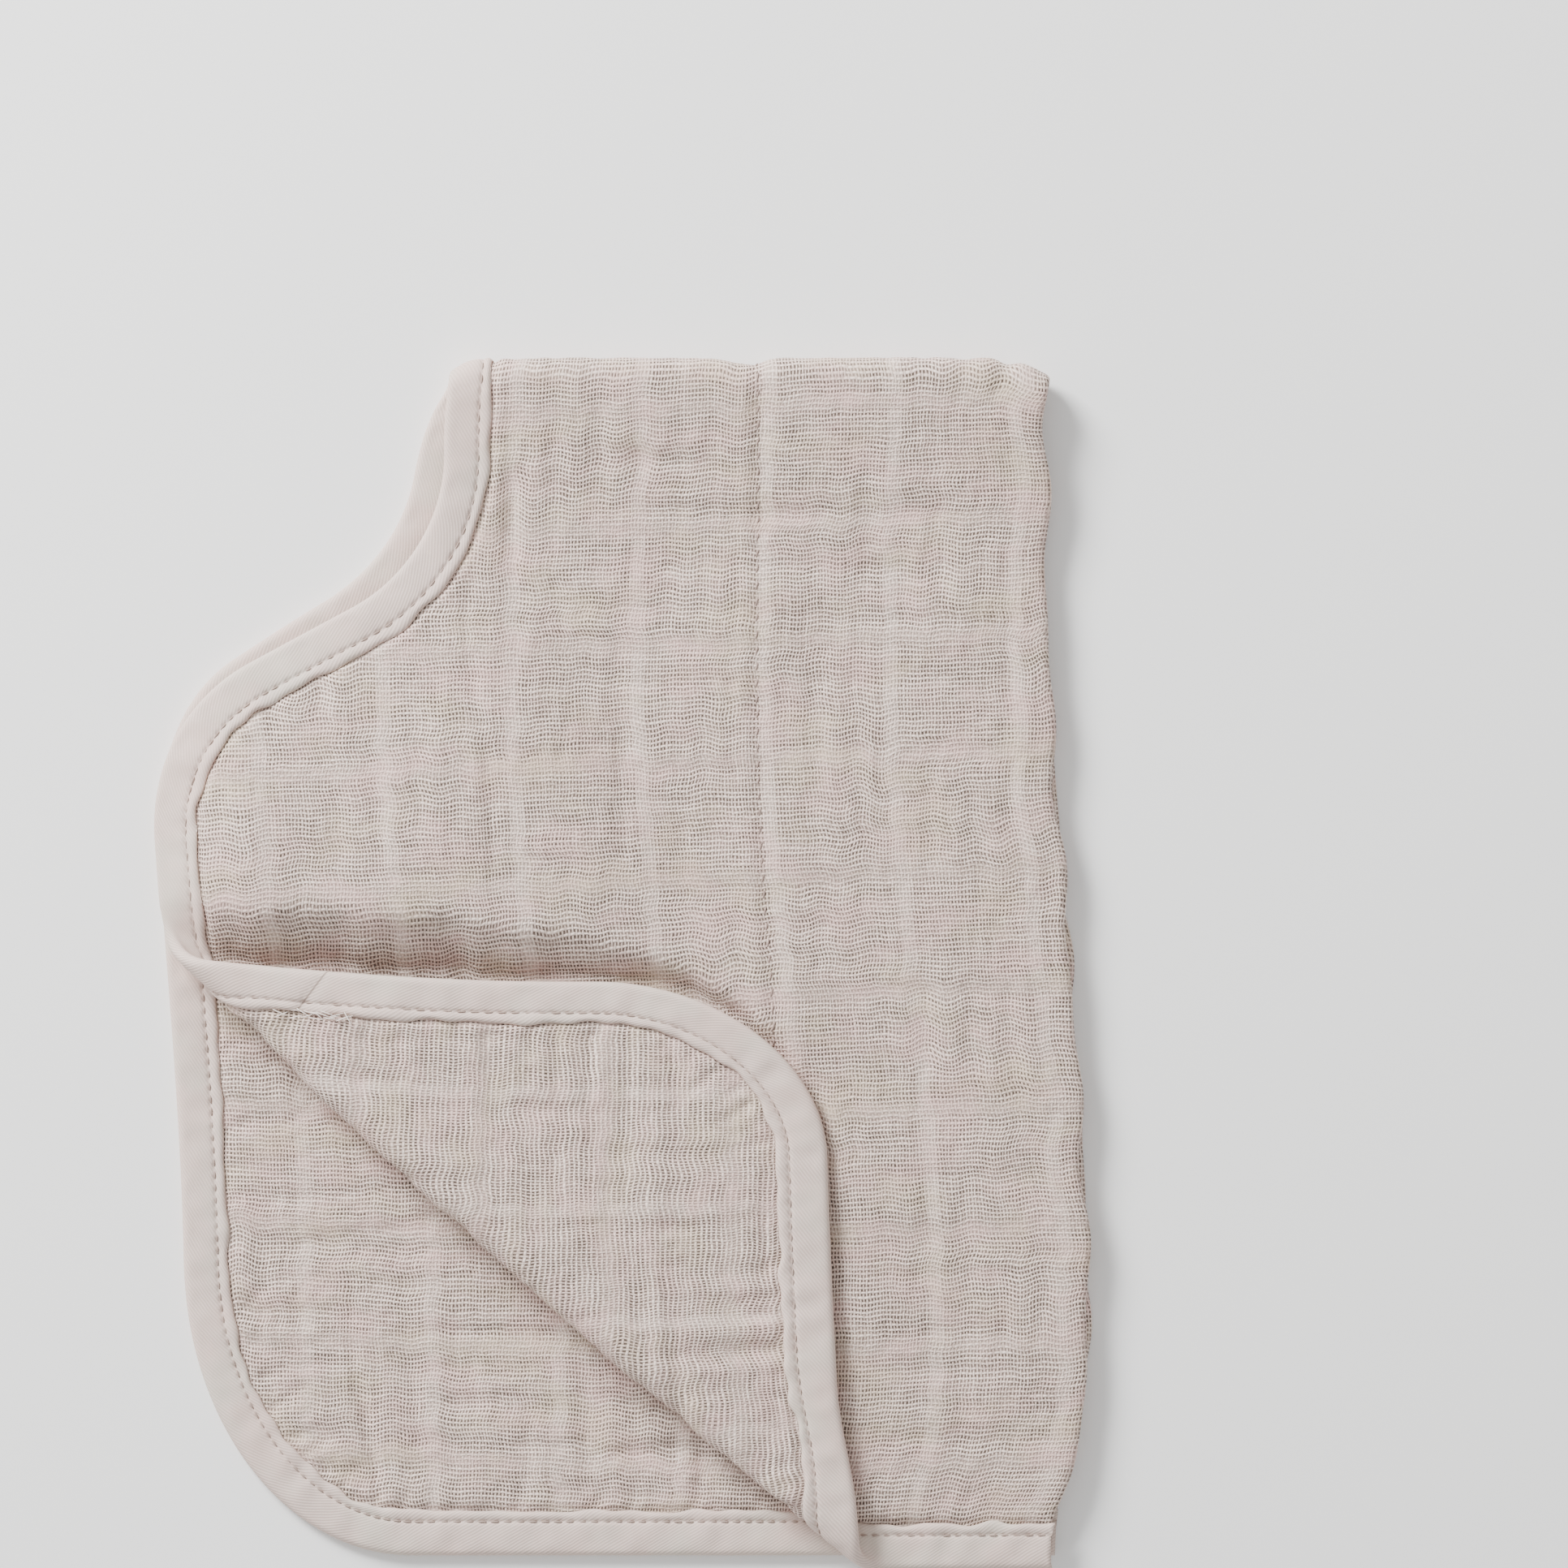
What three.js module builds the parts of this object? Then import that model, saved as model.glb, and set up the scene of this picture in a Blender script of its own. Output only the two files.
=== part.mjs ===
// A burp cloth of layered muslin, folded once across its length, with the near corner of its
// upper ply turned up and over along a soft diagonal roll. Its shaped side and its two short ends
// are bound with twill tape. Its other long side is the muslin's own soft fold, with no tape.
//
// Each solid is drawn flat first. There s runs across the cloth, from the bound side to the plain
// one, v runs along it, from the short end of the upper ply (negative) over the fold at v = 0 to
// the short end of the lower ply, and w runs through its thickness, positive on the outer face.
// foldedPoint then lays every flat point where it lies in the folded cloth. Lengths are in mm.

import * as THREE from 'three';

const { smoothstep, degToRad, lerp } = THREE.MathUtils;
const rise = (from, to, x) => smoothstep(x, from, to);
const bell = (x, middle, spread) => Math.exp(-(((x - middle) / spread) ** 2));

// The cloth as it is cut: one scoop for the neck in the middle of its bound side.
const cloth = { width: 198.5, halfLength: 265, thickness: 2.8, plyGap: 1.2 };
const neck = {
  edge: 66.4, // how far the neck lies in from the widest part
  straight: 21.5, // straight run on each side of the fold
  scoopRadius: 38.5,
  shoulderRadius: 44,
  turn: degToRad(62), // how far the edge swings out along the scoop
};
const roundedCorners = {
  upper: { across: 43, along: 46 },
  lower: { across: 50, along: 66 },
};
const quilting = { depth: 0.5, spread: 1.8, halfWidth: 3 }; // one sewn line down the neck's middle
const softSide = { roundFrom: 2.5, roundMiddle: 0.7, edgeShare: 0.38, middleShare: 0.8 };

// The tape is a flat U around the muslin's raw edge, which lies thin inside it.
const tape = { width: 10, fabric: 0.5, closedEnd: 1.1, nose: 1.2, noseHalf: 0.6, overhang: 0.8 };
const rawEdge = { inset: 1.6, half: 0.55, lipInset: 10.3, fullInset: 11.9 };

// The fold at the top, as a half turn that opens into the two plies.
const fold = { radius: 3.5, y: 127.8, settleLength: 45, pinch: 1.2, pinchLength: 9, pinchWidth: 50 };
const crestDipLength = 16;
const crestDips = [
  { place: 64, depth: 3.4, spread: 6 }, // at the tape
  { place: 132, depth: 1.5, spread: 4 }, // at the quilting
  { place: 198, depth: 3.2, spread: 5 }, // at the soft side
];

// How the plies have slid and leaned as they were laid down.
const lean = { sideways: 9, from: 40, to: 210, offset: -104.8 };
const endPull = { inward: 8.2, from: 222, to: 264, acrossFrom: 70 }; // the tape holds the soft side in
const upperSlip = { down: 1.2, from: 60 };
const lowerSlip = {
  sideways: { by: -6.2, grownBy: 28, fadesFrom: 50, fadesTo: 95 },
  up: { by: 2.2, grownBy: 14, fadesFrom: 45, fadesTo: 85 },
  endUp: { by: 1.4, from: 150 },
};
const sideWaveFrom = 165; // the soft side's waves die out this far across the cloth
const sideWaves = [
  { height: 0.6, pitch: 41, start: 0.4 },
  { height: 0.5, pitch: 27, start: 2.1 },
];
const swell = { height: 0.22, acrossPitch: 41, alongPitch: 57, from: 10, to: 40 }; // the upper ply is puffy

// The roll along which the corner is turned over. The roll is seen from its outer side, start and
// end are the ends of that outline in plan, and the crease bows out a little between them.
const roll = {
  start: new THREE.Vector2(-98.4, 2.7),
  end: new THREE.Vector2(49.5, -129.6),
  radius: 4.2,
  bow: 2.5,
  shear: 0.2, // the loose weave skews along the crease
  settleLength: 80,
  steps: 6,
};

// The turned corner's bound edges stand a little off the ply under them.
const cornerLift = {
  reach: 16, // from the roll
  side: { by: 1.2, width: 46, from: 134, full: 156, fades: 172, ends: 226 },
  end: { by: 0.8, width: 24, from: 30, full: 75, fades: 150, ends: 196 },
};

// Behind the turned corner the upper ply stands puffed, and it falls into a hollow along that corner's edge.
const hollow = {
  edge: { x: -98, y: 3, slope: -0.051 },
  foot: -3.5,
  shoulder: 11,
  softness: 1.3,
  height: 7.8,
  depth: 0.9,
  waves: [{ by: 0.8, pitch: 27, start: 1 }, { by: 0.5, pitch: 11.5, start: 0 }],
  shrink: { by: 0.62, from: -45, to: 12 },
  starts: { from: -8, to: 24 }, // from the bound edge
  ends: { from: 2, to: 30 },
  settles: { from: 20, to: 122 },
  underCorner: { from: -60, to: -40 },
};
const flapPull = { inward: 2.6, from: -60, to: 40, fromCrease: 3, toCrease: 24 };

// How finely the faces are divided.
const divisions = {
  fold: 4, straight: 4, scoop: 7, slope: 3, shoulder: 6, corner: 8, left: 6, right: 4,
};
const sideRuns = [{ to: 115, count: 2 }, { to: 139, count: 7 }, { to: null, count: 5 }]; // fine at the hollow
const cutTolerance = 0.25; // a corner this near to a cut counts as on it

const halfThickness = cloth.thickness / 2;
const middleOfNeck = (neck.edge + cloth.width) / 2;
const quarterFold = (Math.PI / 2) * fold.radius;
const halfTurn = Math.PI * roll.radius;
const plyStep = cloth.thickness + cloth.plyGap;

// The outline of one ply, from the fold to the end of its rounded corner. Each station is a point
// of the outline (s across, a along from the fold) and the way in from it, square to the edge.
function sideStations({ across, along }) {
  const stations = [];
  const add = (s, a, inwardAngle) => {
    stations.push({ s, a, inS: Math.cos(inwardAngle), inA: Math.sin(inwardAngle) });
  };
  for (let i = 0; i < divisions.fold; i += 1) add(neck.edge, (quarterFold * i) / divisions.fold, 0);
  for (let i = 0; i <= divisions.straight; i += 1) {
    add(neck.edge, lerp(quarterFold, neck.straight, i / divisions.straight), 0);
  }
  for (let i = 1; i <= divisions.scoop; i += 1) {
    const turned = (neck.turn * i) / divisions.scoop;
    add(
      neck.edge - neck.scoopRadius * (1 - Math.cos(turned)),
      neck.straight + neck.scoopRadius * Math.sin(turned),
      turned,
    );
  }
  const scoopEnd = stations[stations.length - 1];
  const shoulderReach = neck.shoulderRadius * (1 - Math.cos(neck.turn));
  const slope = (scoopEnd.s - shoulderReach) / Math.sin(neck.turn);
  for (let i = 1; i <= divisions.slope; i += 1) {
    const run = (slope * i) / divisions.slope;
    add(scoopEnd.s - run * Math.sin(neck.turn), scoopEnd.a + run * Math.cos(neck.turn), neck.turn);
  }
  const slopeEnd = stations[stations.length - 1];
  for (let i = 1; i <= divisions.shoulder; i += 1) {
    const turned = neck.turn * (1 - i / divisions.shoulder);
    add(
      neck.shoulderRadius * (1 - Math.cos(turned)),
      slopeEnd.a + neck.shoulderRadius * (Math.sin(neck.turn) - Math.sin(turned)),
      turned,
    );
  }
  const shoulderEnd = stations[stations.length - 1];
  const cornerStart = cloth.halfLength - along;
  let runStart = shoulderEnd.a;
  for (const { to, count } of sideRuns) {
    const runEnd = to ?? cornerStart;
    for (let i = 1; i <= count; i += 1) add(0, lerp(runStart, runEnd, i / count), 0);
    runStart = runEnd;
  }
  for (let i = 1; i <= divisions.corner; i += 1) {
    const turned = ((Math.PI / 2) * i) / divisions.corner;
    const inwardAngle = -Math.atan2(Math.sin(turned) / along, Math.cos(turned) / across);
    add(across * (1 - Math.cos(turned)), cornerStart + along * Math.sin(turned), inwardAngle);
  }
  return stations;
}

// Where the faces are divided across the cloth, from the inner line of the tape at s = from.
function columnPlaces(from) {
  const valley = middleOfNeck - quilting.halfWidth;
  const beyond = middleOfNeck + quilting.halfWidth;
  const roundFrom = cloth.width - softSide.roundFrom;
  const places = [];
  for (let i = 0; i <= divisions.left; i += 1) places.push(lerp(from, valley, i / divisions.left));
  places.push(middleOfNeck);
  for (let i = 0; i <= divisions.right; i += 1) places.push(lerp(beyond, roundFrom, i / divisions.right));
  places.push(cloth.width - softSide.roundMiddle, cloth.width);
  return places;
}

// Half of the muslin's thickness: drawn in at the quilting and rounded off at the soft side.
function muslinHalf(s) {
  const toEdge = cloth.width - s;
  let share = 1;
  if (toEdge < softSide.roundFrom - 0.01) share = softSide.middleShare;
  if (toEdge < softSide.roundMiddle - 0.01) share = softSide.edgeShare;
  return halfThickness * share - quilting.depth * bell(s, middleOfNeck, quilting.spread);
}

const plies = [
  { sign: -1, stations: sideStations(roundedCorners.upper) },
  { sign: 1, stations: sideStations(roundedCorners.lower) },
];

// The muslin as a flat solid: rows from the tape to the soft side, with strips along both ends.
function flatMuslin() {
  const places = [];
  const cells = [];
  const addPlace = (s, v, half) => places.push({ s, v, half }) - 1;
  const insetPlace = ({ s, a, inS, inA }, sign, inset, half) =>
    addPlace(s + inS * inset, sign * (a + inA * inset), half);
  const makeRow = (station, sign) => {
    const row = [
      insetPlace(station, sign, rawEdge.inset, rawEdge.half),
      insetPlace(station, sign, rawEdge.lipInset, rawEdge.half),
    ];
    const innerS = station.s + station.inS * rawEdge.fullInset;
    const innerV = sign * (station.a + station.inA * rawEdge.fullInset);
    for (const s of columnPlaces(innerS)) row.push(addPlace(s, innerV, muslinHalf(s)));
    return row;
  };
  // Joins two rows, the second of which has the higher v.
  const joinRows = (low, high) => {
    for (let i = 0; i + 1 < low.length; i += 1) {
      cells.push([low[i], low[i + 1], high[i + 1]], [low[i], high[i + 1], high[i]]);
    }
  };
  const fromEnd = (sign, inset) => sign * (cloth.halfLength - inset);

  const shared = makeRow(plies[0].stations[0], 1);
  for (const { sign, stations } of plies) {
    let row = shared;
    const join = (next) => (sign > 0 ? joinRows(row, next) : joinRows(next, row));
    for (const station of stations.slice(1)) {
      const next = makeRow(station, sign);
      join(next);
      row = next;
    }
    // The strip under the tape of the short end starts at the corner's own points.
    const [rawCorner, lipCorner, ...inner] = row;
    row = inner;
    const strips = [
      { first: lipCorner, inset: rawEdge.lipInset },
      { first: rawCorner, inset: rawEdge.inset },
    ];
    for (const { first, inset } of strips) {
      const next = inner.map((index, column) => {
        if (column === 0) return first;
        const { s, half } = places[index];
        return addPlace(s, fromEnd(sign, inset), Math.min(half, rawEdge.half));
      });
      join(next);
      row = next;
    }
  }
  return thicken(places, cells);
}

// Gives a flat lattice its two faces, and walls along its open edges.
function thicken(places, cells) {
  const points = places.flatMap(({ s, v, half }) => [[s, v, half], [s, v, -half]]);
  const triangles = cells.flatMap(([a, b, c]) => [
    [2 * a, 2 * b, 2 * c],
    [2 * a + 1, 2 * c + 1, 2 * b + 1],
  ]);
  const edges = new Set();
  for (const [a, b, c] of cells) for (const edge of [[a, b], [b, c], [c, a]]) edges.add(edge.join());
  for (const edge of edges) {
    const [a, b] = edge.split(',').map(Number);
    if (edges.has(`${b},${a}`)) continue;
    triangles.push([2 * a, 2 * a + 1, 2 * b], [2 * b, 2 * a + 1, 2 * b + 1]);
  }
  return { points, triangles };
}

// The tape as a flat solid: its U-shaped section carried along the bound edge, closed at both ends.
function flatTape() {
  const inner = halfThickness - tape.fabric;
  const section = [
    [tape.nose, -halfThickness],
    [tape.width, -halfThickness],
    [tape.width, -inner],
    [tape.closedEnd, -inner],
    [tape.closedEnd, inner],
    [tape.width, inner],
    [tape.width, halfThickness],
    [tape.nose, halfThickness],
    [0, tape.noseHalf],
    [0, -tape.noseHalf],
  ];
  const route = [];
  for (const { sign, stations } of plies) {
    const side = stations.map(({ s, a, inS, inA }) => ({ s, v: sign * a, inS, inV: sign * inA }));
    const cornerEnd = side[side.length - 1];
    const end = columnPlaces(cornerEnd.s).slice(1);
    end[end.length - 1] += tape.overhang;
    for (const s of end) side.push({ ...cornerEnd, s });
    if (sign < 0) route.push(...side.reverse());
    else route.push(...side.slice(1));
  }
  const points = route.flatMap(({ s, v, inS, inV }) =>
    section.map(([inset, w]) => [s + inS * inset, v + inV * inset, w]));
  const triangles = [];
  const count = section.length;
  for (let i = 0; i + 1 < route.length; i += 1) {
    for (let j = 0; j < count; j += 1) {
      const [here, beside] = [i * count + j, i * count + ((j + 1) % count)];
      triangles.push([here, here + count, beside + count], [here, beside + count, beside]);
    }
  }
  const capContour = section.map(([inset, w]) => new THREE.Vector2(inset, w));
  const lastRing = (route.length - 1) * count;
  for (const [a, b, c] of THREE.ShapeUtils.triangulateShape(capContour, [])) {
    triangles.push([a, b, c], [lastRing + a, lastRing + c, lastRing + b]);
  }
  return { points, triangles };
}

const fade = ({ from, to }, x) => rise(from, to, x);

// A straight climb from 0 to 1 with softly bent ends.
function ramp(low, high, softness, x) {
  return 0.5 + (Math.hypot(x - low, softness) - Math.hypot(x - high, softness)) / (2 * (high - low));
}

// How far the upper ply stands over its usual place beside the turned corner.
function puffedBy(x, y, s) {
  let north = y - hollow.edge.y - hollow.edge.slope * (x - hollow.edge.x);
  for (const { by, pitch, start } of hollow.waves) north += by * Math.sin((2 * Math.PI * x) / pitch + start);
  const size = 1 - hollow.shrink.by * fade(hollow.shrink, x);
  const climbed = ramp(hollow.foot, hollow.shoulder, hollow.softness, north / size);
  const height = size * ((hollow.height + hollow.depth) * climbed - hollow.depth);
  return height * (1 - fade(hollow.settles, north)) * (1 - fade(hollow.ends, x))
    * fade(hollow.starts, s) * fade(hollow.underCorner, north);
}

// How far the turned corner stands off along its bound edges.
function cornerLiftAt(s, v, back) {
  const { side, end } = cornerLift;
  const along = (edge, x) => edge.by * rise(edge.from, edge.full, x) * (1 - rise(edge.fades, edge.ends, x));
  const atSide = along(side, -v) * (1 - rise(0, side.width, s));
  const atEnd = along(end, s) * (1 - rise(0, end.width, cloth.halfLength + v));
  return (atSide + atEnd) * rise(0, cornerLift.reach, back);
}

// Where a flat point of one ply lies in plan, and the height of the ply's middle there.
function laidPoint(s, v) {
  const a = Math.abs(v);
  const turned = Math.min(a, quarterFold) / fold.radius;
  const beyond = Math.max(a - quarterFold, 0);
  let x = s + lean.offset + lean.sideways * rise(lean.from, lean.to, a);
  let y = fold.y + fold.radius * Math.cos(turned) - beyond;
  let z = halfThickness + fold.radius;
  x -= endPull.inward * rise(endPull.from, endPull.to, a) * rise(endPull.acrossFrom, cloth.width, s);
  x += fold.pinch * bell(a, 0, fold.pinchLength) * (1 - rise(0, fold.pinchWidth, s - neck.edge));
  for (const { height, pitch, start } of sideWaves) {
    x += height * Math.sin((2 * Math.PI * v) / pitch + start) * rise(sideWaveFrom, cloth.width, s);
  }
  for (const { place, depth, spread } of crestDips) {
    y -= depth * bell(s, place, spread) * bell(a, 0, crestDipLength);
  }
  if (v > 0) {
    const slipAt = ({ by, grownBy, fadesFrom, fadesTo }) =>
      by * rise(0, grownBy, a) * (1 - rise(fadesFrom, fadesTo, a));
    x += slipAt(lowerSlip.sideways);
    y += slipAt(lowerSlip.up) + lowerSlip.endUp.by * rise(lowerSlip.endUp.from, cloth.halfLength, a);
    z -= fold.radius * Math.sin(turned);
  } else {
    y -= upperSlip.down * rise(upperSlip.from, cloth.halfLength, a);
    z += fold.radius * Math.sin(turned);
    z -= (2 * fold.radius - plyStep) * rise(quarterFold, fold.settleLength, a);
    const drift = Math.sin((2 * Math.PI * a) / swell.alongPitch);
    const wave = Math.sin((2 * Math.PI * s) / swell.acrossPitch + drift);
    z += swell.height * (1 + wave) * rise(swell.from, swell.to, a) + puffedBy(x, y, s);
  }
  return new THREE.Vector3(x, y, z);
}

const rollLength = roll.start.distanceTo(roll.end);
const alongRoll = roll.end.clone().sub(roll.start).normalize();
const acrossRoll = new THREE.Vector2(alongRoll.y, -alongRoll.x); // towards the corner that is turned
const creaseStart = roll.start.clone().addScaledVector(acrossRoll, -(roll.radius + halfThickness));

function bowAt(distance) {
  const share = distance / rollLength;
  return 4 * roll.bow * share * (1 - share);
}

// How far a laid point is past the line where the upper ply starts to turn up.
function pastCrease({ x, y }) {
  const fromStart = new THREE.Vector2(x, y).sub(creaseStart);
  const distance = fromStart.dot(alongRoll);
  return { distance, past: fromStart.dot(acrossRoll) - bowAt(distance) };
}

function foldedPoint(s, v) {
  const laid = laidPoint(s, v);
  if (v > 0) return laid;
  const { distance, past } = pastCrease(laid);
  if (past <= 0) return laid;
  const angle = Math.min(past / roll.radius, Math.PI);
  const back = Math.max(past - halfTurn, 0);
  const skewed = distance + roll.shear * past;
  const out = bowAt(skewed) + roll.radius * Math.sin(angle) - back;
  const plan = creaseStart.clone().addScaledVector(alongRoll, skewed).addScaledVector(acrossRoll, out);
  plan.x -= flapPull.inward * rise(flapPull.from, flapPull.to, plan.x)
    * rise(flapPull.fromCrease, flapPull.toCrease, back);
  const settled = (2 * roll.radius - plyStep) * rise(0, roll.settleLength, back);
  const lift = roll.radius * (1 - Math.cos(angle)) - settled + cornerLiftAt(s, v, back);
  return new THREE.Vector3(plan.x, plan.y, laid.z + lift);
}

// The outward direction of the cloth's outer face, from its slope both ways.
function outerNormal(s, v) {
  const step = 0.02;
  const acrossWay = foldedPoint(s + step, v).sub(foldedPoint(s - step, v));
  const alongWay = foldedPoint(s, v + step).sub(foldedPoint(s, v - step));
  return acrossWay.cross(alongWay).normalize();
}

// Divides the upper ply's triangles where they cross one line beside the crease, so that they can
// bend there.
function cutBesideCrease({ points, triangles }, level) {
  const offsets = points.map(([s, v]) => {
    if (v > 0) return -1;
    const offset = pastCrease(laidPoint(s, v)).past - level;
    return Math.abs(offset) < cutTolerance ? 0 : offset;
  });
  const cuts = new Map();
  const cutPoint = (i, j) => {
    const key = i < j ? `${i},${j}` : `${j},${i}`;
    if (!cuts.has(key)) {
      const share = offsets[i] / (offsets[i] - offsets[j]);
      const between = points[i].map((value, axis) => lerp(value, points[j][axis], share));
      cuts.set(key, points.push(between) - 1);
    }
    return cuts.get(key);
  };
  const result = [];
  for (const triangle of triangles) {
    const signs = triangle.map((index) => Math.sign(offsets[index]));
    if (!signs.includes(1) || !signs.includes(-1)) {
      result.push(triangle);
      continue;
    }
    // The triangle is turned so that its corner on the line, or else the one alone on its side, is first.
    const onLine = signs.indexOf(0);
    const isAlone = (sign) => signs.filter((other) => other === sign).length === 1;
    const lone = onLine >= 0 ? onLine : signs.findIndex(isAlone);
    const [a, b, c] = [0, 1, 2].map((turn) => triangle[(lone + turn) % 3]);
    if (onLine >= 0) {
      const middle = cutPoint(b, c);
      result.push([a, b, middle], [a, middle, c]);
    } else {
      const [first, second] = [cutPoint(a, b), cutPoint(a, c)];
      result.push([a, first, second], [first, b, c], [first, c, second]);
    }
  }
  return { points, triangles: result };
}

function foldedGeometry(flatSolid) {
  let solid = flatSolid;
  for (let i = 0; i <= roll.steps; i += 1) solid = cutBesideCrease(solid, (halfTurn * i) / roll.steps);
  const positions = solid.points.flatMap(([s, v, w]) =>
    foldedPoint(s, v).addScaledVector(outerNormal(s, v), w).toArray());
  const geometry = new THREE.BufferGeometry();
  geometry.setAttribute('position', new THREE.Float32BufferAttribute(positions, 3));
  geometry.setIndex(solid.triangles.flat());
  geometry.computeVertexNormals();
  return geometry;
}

function makePiece(name, geometry, color, roughness) {
  const material = new THREE.MeshStandardMaterial({ color, roughness, metalness: 0 });
  const mesh = new THREE.Mesh(geometry, material);
  mesh.name = name;
  return mesh;
}

const group = new THREE.Group();
group.add(makePiece('muslin_cloth', foldedGeometry(flatMuslin()), '#cbc0bb', 0.95));
group.add(makePiece('edge_binding', foldedGeometry(flatTape()), '#d3cbc7', 0.85));

// The origin is under the middle of the folded cloth, on the surface that it lies on.
const box = new THREE.Box3().setFromObject(group);
const middle = box.getCenter(new THREE.Vector3());
group.position.set(-middle.x, -middle.y, -box.min.z);
group.updateMatrixWorld(true);

export default group;
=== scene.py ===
import math

import bpy
import numpy as np
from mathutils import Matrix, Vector, kdtree
from mathutils.geometry import delaunay_2d_cdt


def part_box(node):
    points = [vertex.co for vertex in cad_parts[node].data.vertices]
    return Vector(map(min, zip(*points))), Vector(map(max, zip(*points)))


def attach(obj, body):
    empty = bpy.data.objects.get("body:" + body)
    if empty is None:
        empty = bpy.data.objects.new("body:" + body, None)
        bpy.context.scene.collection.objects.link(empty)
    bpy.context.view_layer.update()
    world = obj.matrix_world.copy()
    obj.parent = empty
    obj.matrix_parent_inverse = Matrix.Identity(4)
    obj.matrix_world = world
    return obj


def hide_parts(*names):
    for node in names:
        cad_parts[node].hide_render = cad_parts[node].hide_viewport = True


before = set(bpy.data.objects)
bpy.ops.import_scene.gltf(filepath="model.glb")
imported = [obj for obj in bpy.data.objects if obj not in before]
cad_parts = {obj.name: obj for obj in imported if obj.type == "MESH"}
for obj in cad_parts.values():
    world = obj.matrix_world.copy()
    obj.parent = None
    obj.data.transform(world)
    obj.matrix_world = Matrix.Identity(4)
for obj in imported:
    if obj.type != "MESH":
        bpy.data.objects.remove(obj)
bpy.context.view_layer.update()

# A burp cloth of layered muslin with a bound edge, folded once, with one corner turned up.
# Every piece is drawn flat in millimetres and then folded: s runs across the cloth from its bound side,
# v runs along it (negative on the upper ply, 0 at the fold, positive on the lower ply), and w is the
# height from the middle of the ply, positive on the outer face.

millimetre = 0.001
turn = 2 * math.pi

cloth = {
    "width": 198.5,
    "halfLength": 265.0,
    "thickness": 2.8,
    "plyGap": 1.2,
    "tapeWidth": 10.0,
    "neckEdge": 66.4,
    "neckStraight": 21.5,
    "scoopRadius": 38.5,
    "shoulderRadius": 44.0,
    "neckTurn": math.radians(62),
    "upperCorner": (43.0, 46.0),
    "lowerCorner": (50.0, 66.0),
}

folding = {
    "foldRadius": 3.5,
    "foldY": 127.8,
    "foldSettles": 45.0,
    "pinch": (1.2, 9.0, 50.0),  # how far the neck's edge is drawn in at the fold, its length and width
    "crestDips": [(64, 3.4, 6), (132, 1.5, 4), (198, 3.2, 5)],  # place across, depth, spread
    "crestDipLength": 16.0,
    "sideways": -104.8,
    "lean": (9.0, 40.0, 210.0),  # sideways, from and to along the cloth
    "endPull": (8.2, 222.0, 264.0, 70.0),  # back at the end: how far, from and to along, from across
    "upperDown": (1.2, 60.0),  # how far the upper ply slips down, from where
    "lowerSideways": (-6.2, 28.0, 50.0, 95.0),  # how far, grown by, fading from and to
    "lowerUp": (2.2, 14.0, 45.0, 85.0),
    "lowerEndUp": (1.4, 150.0),
    "sideWaves": [(0.6, 41.0, 0.4), (0.5, 27.0, 2.1)],  # height, length, start in radians
    "sideWaveFrom": 165.0,
    "swell": (0.22, 41.0, 57.0, 10.0, 40.0),  # height, lengths across and along, growing from and to
    "rollStart": np.array([-98.4, 2.7]),
    "rollEnd": np.array([49.5, -129.6]),
    "rollRadius": 4.2,
    "rollBow": 2.5,
    "rollShear": 0.2,
    "rollSettles": 80.0,
    "rollFlattens": (0.2, 105.0, 190.0),  # by what share, from and to along the roll
    "flapPull": (2.6, -60.0, 40.0, 3.0, 24.0),  # to the left: how far, from and to in x, and past the roll
    "flapRaise": (1.2, (134.0, 156.0), (172.0, 226.0), 46.0),  # height, growing and fading, reach
    "flapEndRaise": (0.1, (30.0, 75.0), (150.0, 196.0), 24.0),
    "flapRaiseFrom": 16.0,  # mm past the roll by which the corner is raised in full
}

# The upper ply stands puffed behind the turned corner and falls into a hollow along its edge.
hollow = {
    "edge": (-98.0, 3.0, -0.051),  # a point of that edge in plan, and its slope
    "round": (-0.2, -45.0, 43.0),  # middle and radius of the turned corner's rounded part
    "climb": (-1.0, 10.8, 0.9),  # mm from the edge: foot, shoulder, how softly they bend
    "height": 8.8,
    "depth": 0.9,  # how far the foot lies under the ply's usual place
    "press": 0.9,  # how far the ply's face is pressed in at the foot
    "pressEnds": ((-2.0, 4.0), (-30.0, -14.0)),  # mm from the edge, outside and under the corner
    "waves": [(0.7, 27.0, 1.0), (0.3, 11.5, 0.0)],  # the foot's line: height, length, start in radians
    "wavesEnd": (-10.0, 10.0),
    "shrinks": (0.74, -42.0, 30.0),  # by what share, from and to in x
    "ends": (0.75, 1.25),  # radians round the corner
    "lowEnds": (-42.0, -22.0),
    "calm": (0.7, 10.0, 8.0),  # how much less it crinkles, mm from the edge, spread
    "starts": (-8.0, 24.0),  # mm from the bound side
    "settles": (20.0, 122.0),  # mm from the edge
    "settlesFaster": 1.3,  # the power by which a smaller puff settles sooner
    "underCorner": (-60.0, -40.0),
}

half = cloth["thickness"] / 2
plyStep = cloth["thickness"] + cloth["plyGap"]
quarterFold = math.pi / 2 * folding["foldRadius"]
halfTurn = math.pi * folding["rollRadius"]
middleOfNeck = (cloth["neckEdge"] + cloth["width"]) / 2


def rise(low, high, x):
    share = np.clip((x - low) / (high - low), 0, 1)
    return share * share * (3 - 2 * share)


def bell(x, spread):
    return np.exp(-((x / spread) ** 2))


def ramp(low, high, softness, x):
    # A straight climb from 0 to 1 with softly bent ends.
    return 0.5 + (np.hypot(x - low, softness) - np.hypot(x - high, softness)) / (2 * (high - low))


# Where the plies lie

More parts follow.
